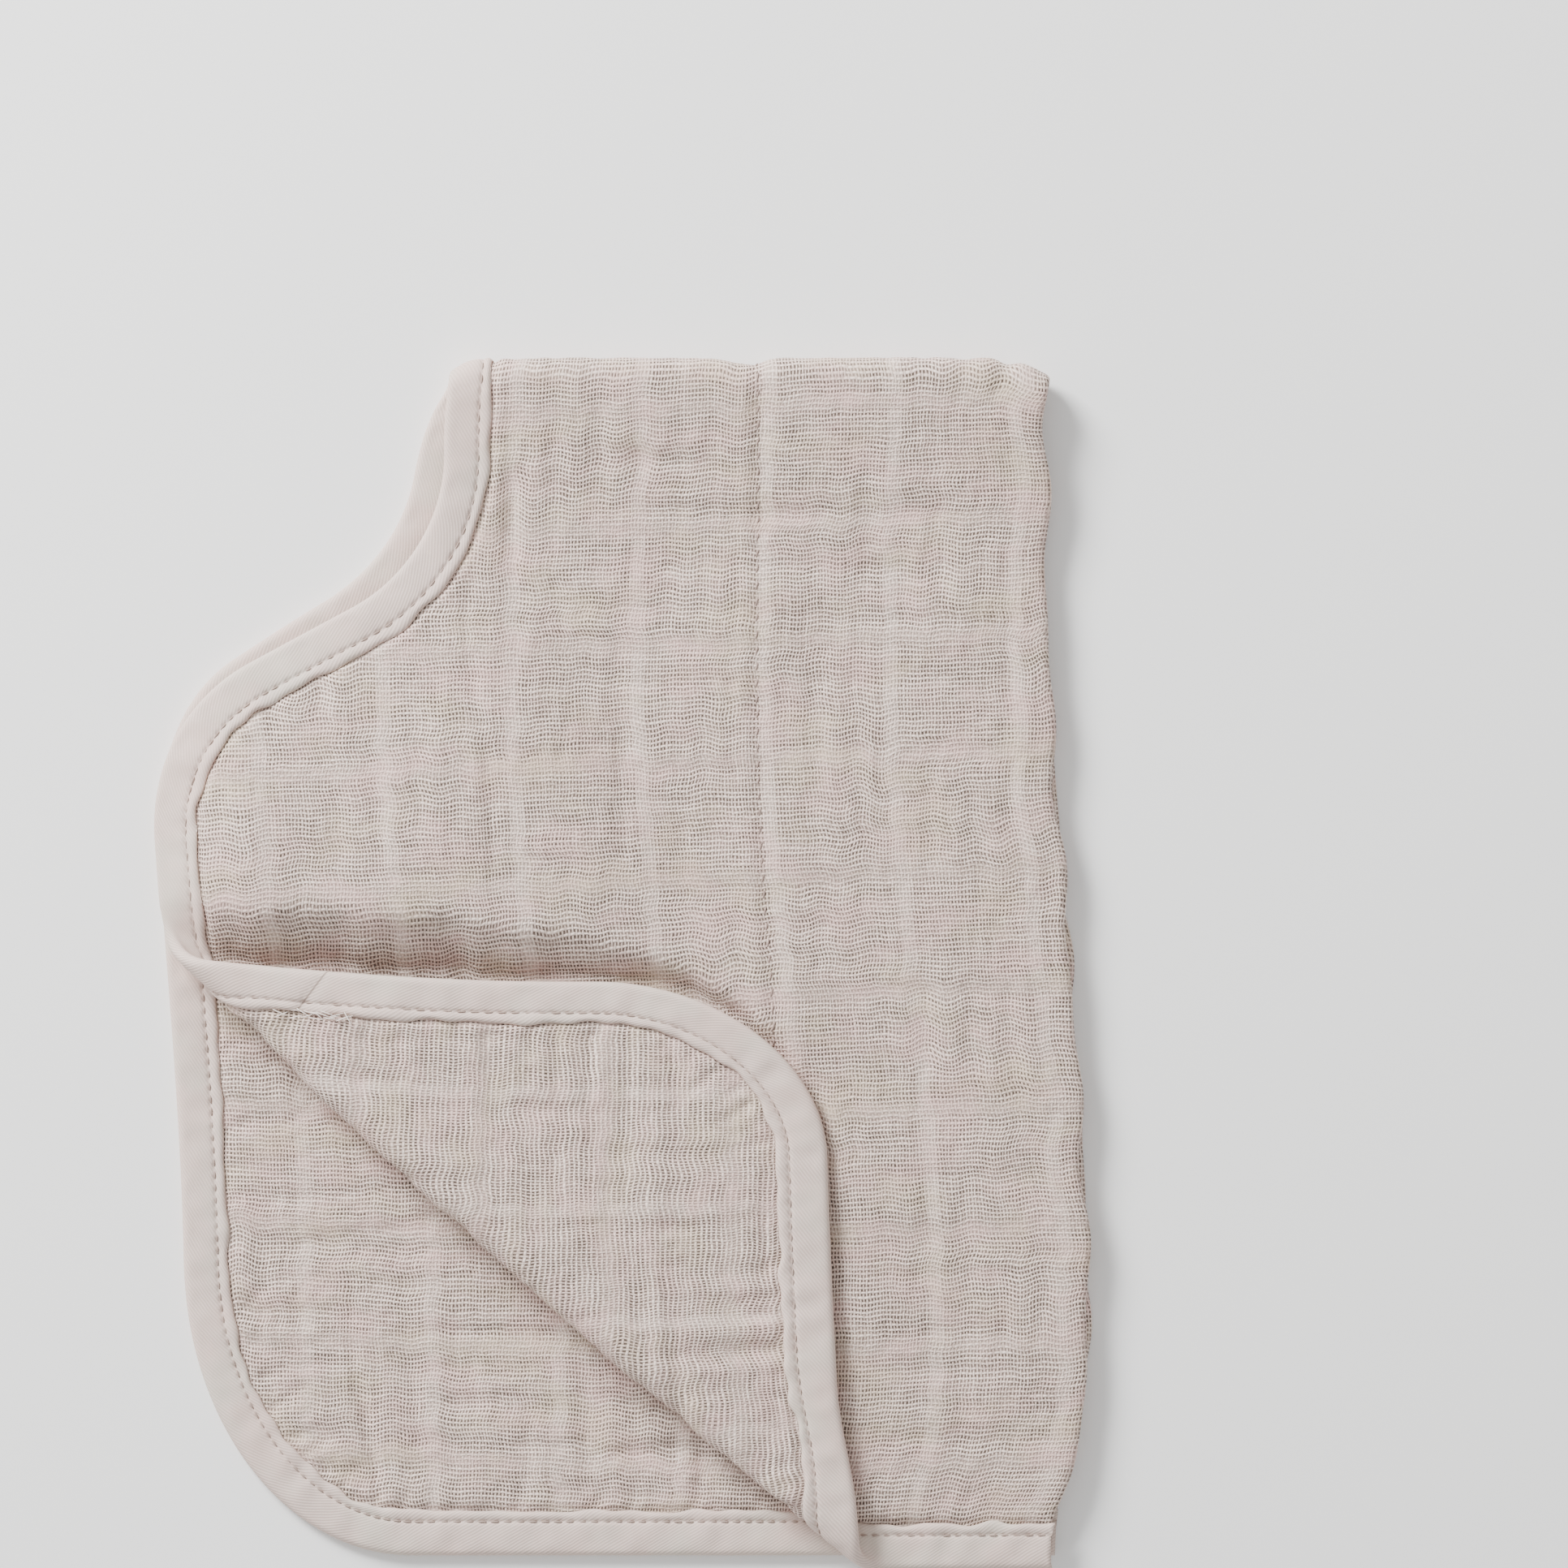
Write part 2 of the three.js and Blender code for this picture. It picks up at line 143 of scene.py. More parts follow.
def pastHollow(x, y):
    # How far outside the turned corner each point lies, and how much of the hollow is left there.
    edgeX, edgeY, slope = hollow["edge"]
    middleX, middleY, radius = hollow["round"]
    straight = y - edgeY - slope * (x - edgeX)
    away = np.where(x < middleX, straight, np.hypot(x - middleX, np.maximum(y - middleY, 0)) - radius)
    aroundCorner = np.arctan2(np.maximum(x - middleX, 0), np.maximum(y - middleY, 1))
    return away, (1 - rise(*hollow["ends"], aroundCorner)) * rise(*hollow["lowEnds"], y)


def puffed(x, y, s):
    # How high the upper ply stands behind the turned corner.
    away, share = pastHollow(x, y)
    for height, pitch, start in hollow["waves"]:
        away = away + height * np.sin(turn * x / pitch + start) * (1 - rise(*hollow["wavesEnd"], x))
    shrinkBy, shrinkFrom, shrinkTo = hollow["shrinks"]
    size = 1 - shrinkBy * rise(shrinkFrom, shrinkTo, x)
    climbed = ramp(*hollow["climb"], away / size)
    height = size * ((hollow["height"] + hollow["depth"]) * climbed - hollow["depth"])
    settleFrom, settleTo = hollow["settles"]
    settled = rise(settleFrom * size, settleTo * size ** hollow["settlesFaster"], away)
    height = height * share * (1 - settled)
    return height * rise(*hollow["starts"], s) * rise(*hollow["underCorner"], away)


def laidPoints(s, v):
    # The middle of the cloth once it is folded over, before its corner is turned up.
    a = np.abs(v)
    upper = v <= 0
    turned = np.minimum(a, quarterFold) / folding["foldRadius"]
    beyond = np.maximum(a - quarterFold, 0)
    side, sideFrom, sideTo = folding["lean"]
    pull, pullFrom, pullTo, pullAcross = folding["endPull"]
    pinch, pinchLength, pinchWidth = folding["pinch"]
    x = s + folding["sideways"] + side * rise(sideFrom, sideTo, a)
    x = x - pull * rise(pullFrom, pullTo, a) * rise(pullAcross, cloth["width"], s)
    x = x + pinch * bell(a, pinchLength) * (1 - rise(0, pinchWidth, s - cloth["neckEdge"]))
    for height, pitch, start in folding["sideWaves"]:
        x = x + height * np.sin(turn * v / pitch + start) * rise(folding["sideWaveFrom"], cloth["width"], s)
    y = folding["foldY"] + folding["foldRadius"] * np.cos(turned) - beyond
    for place, depth, spread in folding["crestDips"]:
        y = y - depth * bell(s - place, spread) * bell(a, folding["crestDipLength"])

    def slip(by, grownBy, fadesFrom, fadesTo):
        return by * rise(0, grownBy, a) * (1 - rise(fadesFrom, fadesTo, a))

    down, downFrom = folding["upperDown"]
    endUp, endFrom = folding["lowerEndUp"]
    x = x + np.where(upper, 0, slip(*folding["lowerSideways"]))
    lowerUp = slip(*folding["lowerUp"]) + endUp * rise(endFrom, cloth["halfLength"], a)
    y = y + np.where(upper, -down * rise(downFrom, cloth["halfLength"], a), lowerUp)
    height, acrossPitch, alongPitch, swellFrom, swellTo = folding["swell"]
    wave = np.sin(turn * s / acrossPitch + np.sin(turn * a / alongPitch))
    opened = folding["foldRadius"] * np.sin(turned)
    settled = (2 * folding["foldRadius"] - plyStep) * rise(quarterFold, folding["foldSettles"], a)
    upperZ = opened - settled + height * (1 + wave) * rise(swellFrom, swellTo, a) + puffed(x, y, s)
    z = half + folding["foldRadius"] + np.where(upper, upperZ, -opened)
    return np.stack([x, y, z], axis=-1)


rollLength = np.linalg.norm(folding["rollEnd"] - folding["rollStart"])
alongRoll = (folding["rollEnd"] - folding["rollStart"]) / rollLength
acrossRoll = np.array([alongRoll[1], -alongRoll[0]])  # towards the corner that is turned up
creaseStart = folding["rollStart"] - acrossRoll * (folding["rollRadius"] + half)


def bowAt(distance):
    # The roll's line is a shallow bow.
    share = distance / rollLength
    return 4 * folding["rollBow"] * share * (1 - share)


def pastCrease(laid):
    # How far along the roll's line and how far past it each laid point is.
    fromStart = laid[..., :2] - creaseStart
    distance = fromStart @ alongRoll
    return distance, fromStart @ acrossRoll - bowAt(distance)


def foldedPoints(s, v):
    laid = laidPoints(s, v)
    distance, past = pastCrease(laid)
    radius = folding["rollRadius"]
    angle = np.clip(past / radius, 0, math.pi)
    back = np.maximum(past - halfTurn, 0)
    skewed = distance + folding["rollShear"] * past
    out = bowAt(skewed) + radius * np.sin(angle) - back
    plan = creaseStart + skewed[..., None] * alongRoll + out[..., None] * acrossRoll
    pull, pullFrom, pullTo, nearCrease, farCrease = folding["flapPull"]
    plan[..., 0] -= pull * rise(pullFrom, pullTo, plan[..., 0]) * rise(nearCrease, farCrease, back)
    flattened, flatFrom, flatTo = folding["rollFlattens"]
    tall = radius * (1 - flattened * rise(flatFrom, flatTo, skewed))
    settled = (2 * tall - plyStep) * rise(0, folding["rollSettles"], back)

    def raised(height, growing, fading, reach, place, fromEdge):
        return height * rise(*growing, place) * (1 - rise(*fading, place)) * (1 - rise(0, reach, fromEdge))

    edgeRaise = raised(*folding["flapRaise"], -v, s)
    endRaise = raised(*folding["flapEndRaise"], s, cloth["halfLength"] + v)
    raiseShare = rise(0, folding["flapRaiseFrom"], back)
    lift = tall * (1 - np.cos(angle)) - settled + (edgeRaise + endRaise) * raiseShare
    turnedPoints = np.concatenate([plan, (laid[..., 2] + lift)[..., None]], axis=-1)
    onRoll = (v <= 0) & (past > 0)
    return np.where(onRoll[..., None], turnedPoints, laid)


def outerNormals(s, v):
    step = 0.02
    across = foldedPoints(s + step, v) - foldedPoints(s - step, v)
    along = foldedPoints(s, v + step) - foldedPoints(s, v - step)
    normals = np.cross(across, along)
    return normals / np.linalg.norm(normals, axis=-1, keepdims=True)


def placed(s, v, w):
    # Flat points, in millimetres, to points of the folded cloth in the frame, in metres.
    points = foldedPoints(s, v) + outerNormals(s, v) * w[..., None]
    return (points + frameShift) * millimetre


# The bound edge

def plySide(corner):
    # The outline from the fold down to the end of the rounded corner, as short straight steps.
    across, along = corner
    scoopSteps, cornerSteps = 60, 90
    s, a = [cloth["neckEdge"], cloth["neckEdge"]], [0.0, cloth["neckStraight"]]
    edgeTurn = cloth["neckTurn"]
    angles = np.linspace(0, edgeTurn, scoopSteps)[1:]
    s += list(s[-1] - cloth["scoopRadius"] * (1 - np.cos(angles)))
    a += list(a[-1] + cloth["scoopRadius"] * np.sin(angles))
    shoulderReach = cloth["shoulderRadius"] * (1 - math.cos(edgeTurn))
    slope = (s[-1] - shoulderReach) / math.sin(edgeTurn)
    s.append(shoulderReach)
    a.append(a[-1] + slope * math.cos(edgeTurn))
    angles = np.append(angles[::-1][1:], 0)
    top = a[-1]
    s += list(cloth["shoulderRadius"] * (1 - np.cos(angles)))
    a += list(top + cloth["shoulderRadius"] * (math.sin(edgeTurn) - np.sin(angles)))
    cornerAngles = np.linspace(0, math.pi / 2, cornerSteps)
    s += list(across * (1 - np.cos(cornerAngles)))
    a += list(cloth["halfLength"] - along + along * np.sin(cornerAngles))
    return np.array([s, a]).T


def evenSteps(line, step):
    lengths = np.append(0, np.cumsum(np.linalg.norm(np.diff(line, axis=0), axis=1)))
    distances = np.linspace(0, lengths[-1], int(round(lengths[-1] / step)) + 1)
    return np.array([np.interp(distances, lengths, line[:, i]) for i in range(2)]).T, distances


def boundRoute(step, overhang):
    # The whole bound edge: points, the way in from each, and the distance along it.
    upper, lower = plySide(cloth["upperCorner"]), plySide(cloth["lowerCorner"])
    end = cloth["width"] + overhang
    upper = np.vstack([upper, [end, cloth["halfLength"]]]) * [1, -1]
    lower = np.vstack([lower, [end, cloth["halfLength"]]])
    points, distances = evenSteps(np.vstack([upper[::-1], lower[1:]]), step)
    fine = np.gradient(points, axis=0)
    fine /= np.linalg.norm(fine, axis=1, keepdims=True)
    inward = np.stack([fine[:, 1], -fine[:, 0]], axis=1)
    return points, inward, distances


# The frame's origin is the middle of the CAD's box, so the outline is set against the tape's own box.
routePoints, routeInward, routeDistances = boundRoute(0.5, 0.0)
frameShift = np.zeros(3)
outlineLow = placed(routePoints[:, 0], routePoints[:, 1], np.zeros(len(routePoints))).min(axis=0)
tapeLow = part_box("edge_binding")[0]
frameShift = np.array([tapeLow.x - outlineLow[0], tapeLow.y - outlineLow[1], 0]) / millimetre
print("frame shift in mm", frameShift.round(3))

routeTree = kdtree.KDTree(len(routePoints))
for index, (s, v) in enumerate(routePoints):
    routeTree.insert((s, v, 0), index)
routeTree.balance()


def edgePlaces(s, v):
    # How far in from the bound edge each flat point is, and how far along the edge.
    nearest = np.array([routeTree.find((x, y, 0))[1] for x, y in zip(s, v)])
    offset = np.stack([s, v], axis=1) - routePoints[nearest]
    inset = np.einsum("ij,ij->i", offset, routeInward[nearest])
    tangent = np.stack([-routeInward[nearest][:, 1], routeInward[nearest][:, 0]], axis=1)
    return inset, routeDistances[nearest] + np.einsum("ij,ij->i", offset, tangent)


# Uneven fields for crinkles

def unevenField(s, v, seed, acrossSize, alongSize, waves=16):
    # Waves of about these sizes in mm, laid over one another: about 1 in height.
    random = np.random.default_rng(seed)
    total = np.zeros_like(s)
    for _ in range(waves):
        angle, stretch, start = random.uniform(0, turn), random.uniform(0.7, 1.4), random.uniform(0, turn)
        waveAcross = turn * math.cos(angle) * stretch / acrossSize
        waveAlong = turn * math.sin(angle) * stretch / alongSize
        total += np.cos(waveAcross * s + waveAlong * v + start)
    return total / math.sqrt(waves)


creasing = {
    "share": 0.68,  # how much of the heights in the lists below is used
    "shadeWay": (-0.64, 0.77),  # a trough shows as a line of shade on this side of its bottom
    "shadeShift": 0.7,  # in widths of the trough
}


def creaseField(x, y, creases):
    # Soft troughs and ridges, each from point to point in plan, where its shade or shine lies.
    shadeX, shadeY = creasing["shadeWay"]
    total = np.zeros_like(x)
    for startX, startY, endX, endY, width, height in creases:
        reach = math.hypot(endX - startX, endY - startY)
        wayX, wayY = (endX - startX) / reach, (endY - startY) / reach
        middleX, middleY = (startX + endX) / 2, (startY + endY) / 2
        near = np.hypot(x - middleX, y - middleY) < reach + 4 * width
        offsetX, offsetY = x[near] - middleX, y[near] - middleY
        along = offsetX * wayX + offsetY * wayY
        towardsLight = math.copysign(1, wayX * shadeY - wayY * shadeX)
        across = offsetY * wayX - offsetX * wayY + creasing["shadeShift"] * width * towardsLight
        fading = np.exp(-((np.abs(along) / (reach / 2 + width / 2)) ** 4))
        total[near] += height * bell(across, width) * fading
    return total


crinkles = {
    "columnSize": (9.0, 70.0),  # mm: width and length of the soft ridges that run along the cloth
    "rowSize": (80.0, 8.5),
    "patchSize": 38.0,
    "patchShare": (0.85, 0.75, 0.1, 1.9),  # usual strength, how uneven, least and most
    "columnHeight": 0.2,
    "rowHeight": 0.14,
    "rowShares": {1: 0.8, -1: 1.4},  # the outer face has fewer rows, the inner face more
    "columnShares": {1: 1.25, -1: 0.9},
    "columnsFall": (0.45, 70.0, 120.0),  # fewer columns on the outer face past the neck
    "sharpness": 0.22,  # how much narrower the valleys are than the ridges
    "fineHeight": 0.07,
    "fineSize": 4.2,
    "columnWander": 0.42,  # how far the threads across the cloth wave over those ridges
    "rowWander": 0.36,
    "puckerStep": (4.0, 10.0),
    "puckerReach": (3.0, 11.0),
    "puckerWidth": (0.8, 1.6),
    "puckerWidens": 0.12,  # by this share for each mm inwards
    "puckerDepth": (0.25, 0.85),
    "puckerSlant": 0.25,
    "puckerShares": {1: 0.5, -1: 1.0},  # on the outer face and on the inner face
    "puckerSeeds": {1: 109, -1: 209},
}


def columnsAndRows(s, v):
    # Two fields near 1 in size: ridges along the cloth and ridges across it, both patchy.
    usual, spread, least, most = crinkles["patchShare"]
    patchSize = crinkles["patchSize"]

    def patchy(patchSeed, seed, size):
        patches = np.clip(usual + spread * unevenField(s, v, patchSeed, patchSize, patchSize), least, most)
        return unevenField(s, v, seed, *size) * patches

    return patchy(11, 21, crinkles["columnSize"]), patchy(12, 22, crinkles["rowSize"])


def puckerField(inset, distance, sign):
    # Short valleys that run in from the tape's lip.
    random = np.random.default_rng(crinkles["puckerSeeds"][sign])
    total = np.zeros_like(inset)
    place = crinkles["puckerStep"][0]
    while place < routeDistances[-1]:
        reach, width = random.uniform(*crinkles["puckerReach"]), random.uniform(*crinkles["puckerWidth"])
        depth = random.uniform(*crinkles["puckerDepth"])
        slant = random.normal(0, crinkles["puckerSlant"])
        inside = np.maximum(inset - cloth["tapeWidth"], 0)
        spread = width * (1 + crinkles["puckerWidens"] * inside)
        total -= depth * bell(distance - place - slant * inside, spread) * bell(inside, reach)
        place += random.uniform(*crinkles["puckerStep"])
    return total * crinkles["puckerShares"][sign]


def crinkleHeights(s, v, sign):
    # Broad ridges with narrower valleys: more columns near the neck, more rows inside the fold.
    columns, rows = (field - crinkles["sharpness"] * field ** 2 for field in columnsAndRows(s, v))
    columnShare = crinkles["columnShares"][sign]
    if sign > 0:
        fall, fallFrom, fallTo = crinkles["columnsFall"]
        columnShare = columnShare - fall * rise(fallFrom, fallTo, s)
    heights = crinkles["columnHeight"] * columnShare * columns
    heights = heights + crinkles["rowHeight"] * crinkles["rowShares"][sign] * rows
    return heights + crinkles["fineHeight"] * unevenField(s, v, 23, *[crinkles["fineSize"]] * 2)


# The main creases that show, placed in plan: from x, y, to x, y, width, height, in mm.
upperFaceCreases = [
    (-25, 128, -25, 96, 1.3, -0.35), (-35, 82, -33, 58, 1.4, -0.55), (-33, 60, -30, 44, 1.4, -0.6),
    (-30, 46, -29, 30, 1.4, -0.75), (-29, 32, -28, 12, 1.4, -0.65), (-52, 64, -49.5, 44, 1.4, -0.4),
    (-23, 126, -23, 92, 2.4, -0.35), (1.6, 126, 1.6, 92, 2.0, 0.35), (51, 54, 51, 18, 2.0, 0.35),
    (-16.8, 126, -16.4, 92, 1.6, -0.15), (-6.4, 126, -3, 92, 2.0, -0.35), (12.3, 126, 12.3, 92, 1.8, -0.25),
    (39.6, 82, 41.5, 20, 2.0, -0.35), (12.3, 50, 12.3, 18, 2.0, -0.35), (53.4, 122, 55.5, 80, 1.8, -0.15),
    (68.2, 122, 67, 86, 1.8, -0.35), (-14.3, 82, -13, 52, 1.8, -0.3), (66, 50, 66.5, 20, 1.8, -0.3),
    (-42.3, 78, -41, 56, 1.8, -0.35), (24, 122, 24.5, 62, 1.4, -0.25),
    (-56, 50, -53, 22, 1.5, -0.4), (-60, 60, -57, 45, 1.4, -0.3), (-40, 38, -38, 22, 2.4, -0.5),
    (-46, 60, -44, 46, 2.0, -0.3), (-66, 52, -62, 20, 2.2, -0.3),
    (-2, 101, 90, 99.4, 2.0, -0.6), (-12, 106, 2, 103, 2.2, -0.35), (-20, 85, 0, 88, 2.2, -0.4),
    (0, 89, 86, 87.4, 2.2, -0.5), (-35, 75, -10, 77, 2.2, -0.5), (-10, 78.6, 30, 78.6, 1.6, -0.5),
    (30, 77, 84, 76.6, 2.0, -0.4), (-10, 62.6, 26, 63, 1.8, -0.45), (36, 63.8, 86, 63.8, 2.0, -0.4),
    (-10, 49, 26, 49, 1.6, -0.3), (-12, 36.4, 26, 36.4, 1.6, -0.35), (-8, 111, 24, 110, 1.6, -0.25),
    (-72, 48, -40, 48, 1.8, -0.35), (-30, 47.5, -10, 47, 1.8, -0.45),
    (30, 49.5, 60, 48.5, 2.0, -0.25), (-75, 20.5, -27, 20.5, 1.4, -0.35), (-26, 19.5, 6, 19.5, 1.4, -0.3),
    (10, 15, 56, 15, 1.8, -0.2), (-1.8, 74, -0.5, 18, 1.8, -0.6), (-14, 52, -13, 30, 1.8, -0.3),
    (23, 62, 24, 40, 1.6, -0.3), (20, 30, 28, 27, 1.8, -0.3), (56, 76, 56, 55, 2.0, -0.35),
    (56, 55, 57, 28, 2.0, -0.3), (84, 122, 84, 30, 1.5, -0.35), (74, 51, 78, 45.5, 1.6, -0.4),
    (78, 45.5, 84, 51, 1.6, -0.4), (78, 32, 77, 14, 2.6, -0.45), (66, 30, 68, 20, 1.6, -0.25),
    (58, -4, 90, -5, 1.8, -0.45), (60, -16, 90, -18, 2.2, -0.35), (56, -28.4, 90, -29, 2.0, -0.4),
    (58, -45.4, 92, -45.4, 2.2, -0.45), (58, -56.8, 92, -57.4, 2.0, -0.5), (58, -66.6, 92, -67, 2.0, -0.5),
    (60, -78.9, 92, -79.4, 2.0, -0.5), (60, -87.5, 92, -88, 1.8, -0.5), (56, -102.3, 92, -103, 2.4, -0.8),
    (64, -20, 66, -60, 2.2, -0.35), (73, -40, 74, -108, 2.2, -0.5), (87, 60, 88, -20, 2.0, 0.3),
]
lowerFaceCreases = [
    (-60, -84, -58, -94, 1.1, -0.9), (-59, -93, -56, -101, 1.1, -1.2), (-57, -100, -54, -112, 1.1, -1.2),
    (-55, -110, -53.5, -119, 1.1, -1.1), (-79, -102, -71, -109, 1.2, -0.9),
    (-87.5, -26, -86, -45, 0.9, -0.7),
    (-86, -45, -84.5, -70, 0.9, -0.7), (-84, -68, -78, -72, 1.0, -0.6), (-84, -74, -78, -78, 1.0, -0.6),
    (-85, -80, -78, -84, 1.1, -0.7), (-73, -75, -70, -80, 1.2, -0.7), (-79, -91, -76, -99, 1.1, -0.6),
    (-70, -94, -67, -99, 1.3, -0.7), (-68, -104, -66, -109, 1.3, -0.5), (-78, -52, -66, -50, 1.2, -0.5),
    (-64, -50, -40, -48, 1.2, -0.6), (-66, -59, -42, -57, 1.4, -0.7), (-78, -61, -62, -60, 1.4, -0.4),
    (-84, -21, -74, -20, 1.6, -0.5), (-82, -34, -70, -33, 1.6, -0.5), (-80, -42, -76, -56, 1.4, -0.3),
    (-46, -80, -14, -80, 1.4, -0.9), (-78, -88, -62, -87, 1.4, -0.5), (-40, -96, -20, -94, 1.4, -0.6),
    (-24, -105, -7, -105, 1.6, -0.8), (-5, -107, 15, -105.5, 1.7, -1.2), (-38, -105, -34, -107, 1.5, -0.5),
    (-47, -90, -44, -112, 1.6, -0.5), (-60, -70, -60, -84, 1.4, -0.4), (-21, -98, -21, -118, 1.3, -0.6),
    (-10, -86, -8, -114, 1.4, -0.6), (-33, -84, -34, -104, 1.6, -0.4), (-27, -114, -26, -123, 1.0, -0.8),
    (-5, -116, -5, -124, 1.0, -0.9), (17, -103, 17, -115, 1.1, -0.9), (5, -122.3, 42, -121.8, 0.9, -0.8),
    (-52, -119, -43, -122.3, 1.0, -0.9), (-40, -119.5, -10, -119.5, 1.0, -0.5),
    (-69, -115, -62, -118, 1.0, -0.7),
    (-77, -20, -70, -21.5, 1.4, -0.8), (-64, -33.5, -56, -33.5, 1.5, -1.0), (-44, -55, -36, -54, 1.6, -1.0),
    (-2, -94, 10, -98, 2.6, -1.4), (13, -104, 21, -108, 2.2, -1.4), (26, -113, 40, -120, 2.0, -1.2),
    (-28, -72, -20, -78, 2.0, -0.7),
]
flapCreases = [
    (-56, -12, -56, -26, 1.1, -0.6), (-49, -14, -48.5, -28, 1.0, -0.6), (-56, -15.5, -30, -15.5, 1.2, -0.5),
    (-36, -14, -34, -18, 1.1, -0.6), (-29, -14.5, -24, -15.5, 1.2, -0.9), (-20, -13, -18.5, -17, 1.1, -0.7),
    (-14, -13.5, -8, -13.8, 1.2, -0.6), (-22, -14, -21, -28, 1.1, -0.6), (-15, -14, -14, -30, 1.0, -0.7),
    (-6, -14, -8, -32, 1.2, -0.9), (1.2, -18, 0.8, -50, 1.3, -0.8), (10, -13, 12, -32, 1.2, -0.7),
    (5, -14, 5, -21, 1.1, -0.5), (-42, -16, -41, -27, 1.2, -0.4), (-14, -36, -15, -46, 1.3, -0.45),
    (-7, -34, -8, -48, 1.3, -0.45), (-30, -40, -31, -54, 1.5, -0.45), (-3, -38, -4, -62, 2.0, -0.5),
    (22, -20, 28, -26, 1.2, -1.0), (24, -36, 34, -38, 1.3, -0.8), (32, -41, 32, -50, 1.1, -0.8),
    (31, -56, 32, -68, 1.1, -0.7), (34.3, -78, 34.3, -96, 1.0, -0.9), (34, -98, 36.5, -114, 1.1, -0.9),
    (13, -73, 35, -72, 1.3, -0.8), (8, -56, 17, -57, 1.4, -0.6), (0, -50.5, 30, -50.5, 2.2, 0.45),
    (-12, -68, -5, -80, 3.4, -0.6), (12, -86, 13.5, -99, 1.3, -0.7), (10, -85, 30, -85, 1.5, -0.5),
    (17, -60, 34, -59, 1.5, -0.5), (-28, -30, 4, -31, 1.8, -0.35), (-22, -56.5, 30, -56.5, 2.0, -0.5),
    (6.6, -20, 6.8, -100, 2.2, 0.6), (28, -106, 33, -108, 1.8, -0.6),
]

surface = {
    "fineStep": 1.08,  # mm between points where a face shows
    "coarseStep": 3.6,  # and where it is hidden
    "fineBeyond": {"roll": 2.0, "fold": 9.0, "corner": 7.0, "underRoll": 9.0},  # mm that fine points reach
    "edgeStep": 2.1,
    "sideStep": 1.3,
    "rings": (5.0, 9.9, 10.4, 10.9, 11.5, 12.2),  # mm in from the bound edge
    "latticeFrom": 12.8,
    "sideRows": (0.3, 0.9, 1.6),  # mm in from the soft side
    "endGap": 2.5,
    "sideGap": 0.3,  # in steps
    "rawInset": 1.7,  # mm from the tape's nose to the muslin's raw edge
    "rawHalf": 0.55,
    "opens": (10.0, 11.7),  # mm from the bound edge over which the ply gets its full thickness
    "roundFrom": 2.4,
    "sideShare": 0.14,  # of the ply's thickness, at the very edge of the soft side
    "leastHalf": 0.2,
    "reliefFrom": (10.0, 12.0),
    "reliefFromSide": 6.0,
    "floorFrom": 3.0,  # mm past the fold, where the lower ply comes to lie on the floor
    "floorShare": 0.2,  # how much of the relief is left there
    # Beside the turned corner: height, growing and fading down the cloth, rising and falling across, lean
    "shoulders": (1.6, (22.0, 48.0), (118.0, 130.0), (40.0, 48.0), (49.0, 74.0), -0.03),
    "rollPress": (0.35, (-8.0, 0.0), (5.0, 9.5)),  # depth, growing and fading past the crease
}

quiltStitch = {
    "pitch": 3.55,
    "length": 2.1,
    "radius": 0.2,
    "slant": 0.28,  # radians
    "sink": 0.28,
    "stands": 0.08,  # mm above the valley's floor
    "underCloth": 0.35,  # none stands out under the cloth
    "fromEnds": 12.0,
}
quiltSeam = {
    "from": middleOfNeck + 2.7,
    "to": middleOfNeck,
    "between": (30.0, 125.0),  # mm from the fold
    "valleyDepth": 0.48,
    "valleySpread": 1.1,
    "widerRight": 2.2,
    "stitchPull": 0.3,  # how much deeper it is at a stitch
    "ridge": (0.2, 3.2, 1.6),  # height, mm to the left, spread
}


def seamPlace(v):
    # How far across the cloth the sewn seam runs.
    share = rise(*quiltSeam["between"], np.abs(v))
    return quiltSeam["from"] + (quiltSeam["to"] - quiltSeam["from"]) * share


def seamValley(s, v):
    # The dip that the quilting thread pulls, with a low ridge on its left.
    fromSeam = s - seamPlace(v)
    spread = quiltSeam["valleySpread"] * np.where(fromSeam > 0, quiltSeam["widerRight"], 1.0)
    pulled = 1 + quiltSeam["stitchPull"] * np.cos(turn * v / quiltStitch["pitch"])
    ridge, place, width = quiltSeam["ridge"]
    valley = quiltSeam["valleyDepth"] * bell(fromSeam, spread) * pulled
    return ridge * bell(fromSeam + place, width) - valley


def hexPoints(step):
    # Flat points at the corners of even triangles.
    rows = np.arange(-cloth["halfLength"], cloth["halfLength"], step * math.sqrt(3) / 2)
    columns = np.arange(0, cloth["width"], step)
    v, s = np.meshgrid(rows, columns, indexing="ij")
    s = s + (np.arange(len(rows)) % 2)[:, None] * step / 2
    return s.ravel(), v.ravel()


def borderLoop():
    # The muslin's outline: inside the tape along the bound edge, then up the soft side.
    points, inward, _ = boundRoute(surface["edgeStep"], 0.0)
    bound = points + inward * surface["rawInset"]
    sideCount = int(2 * cloth["halfLength"] / surface["sideStep"])
    sideV = np.linspace(bound[-1, 1], bound[0, 1], sideCount)[1:-1]
    side = np.stack([np.full(sideCount - 2, cloth["width"]), sideV], axis=1)
    return np.vstack([bound, side])


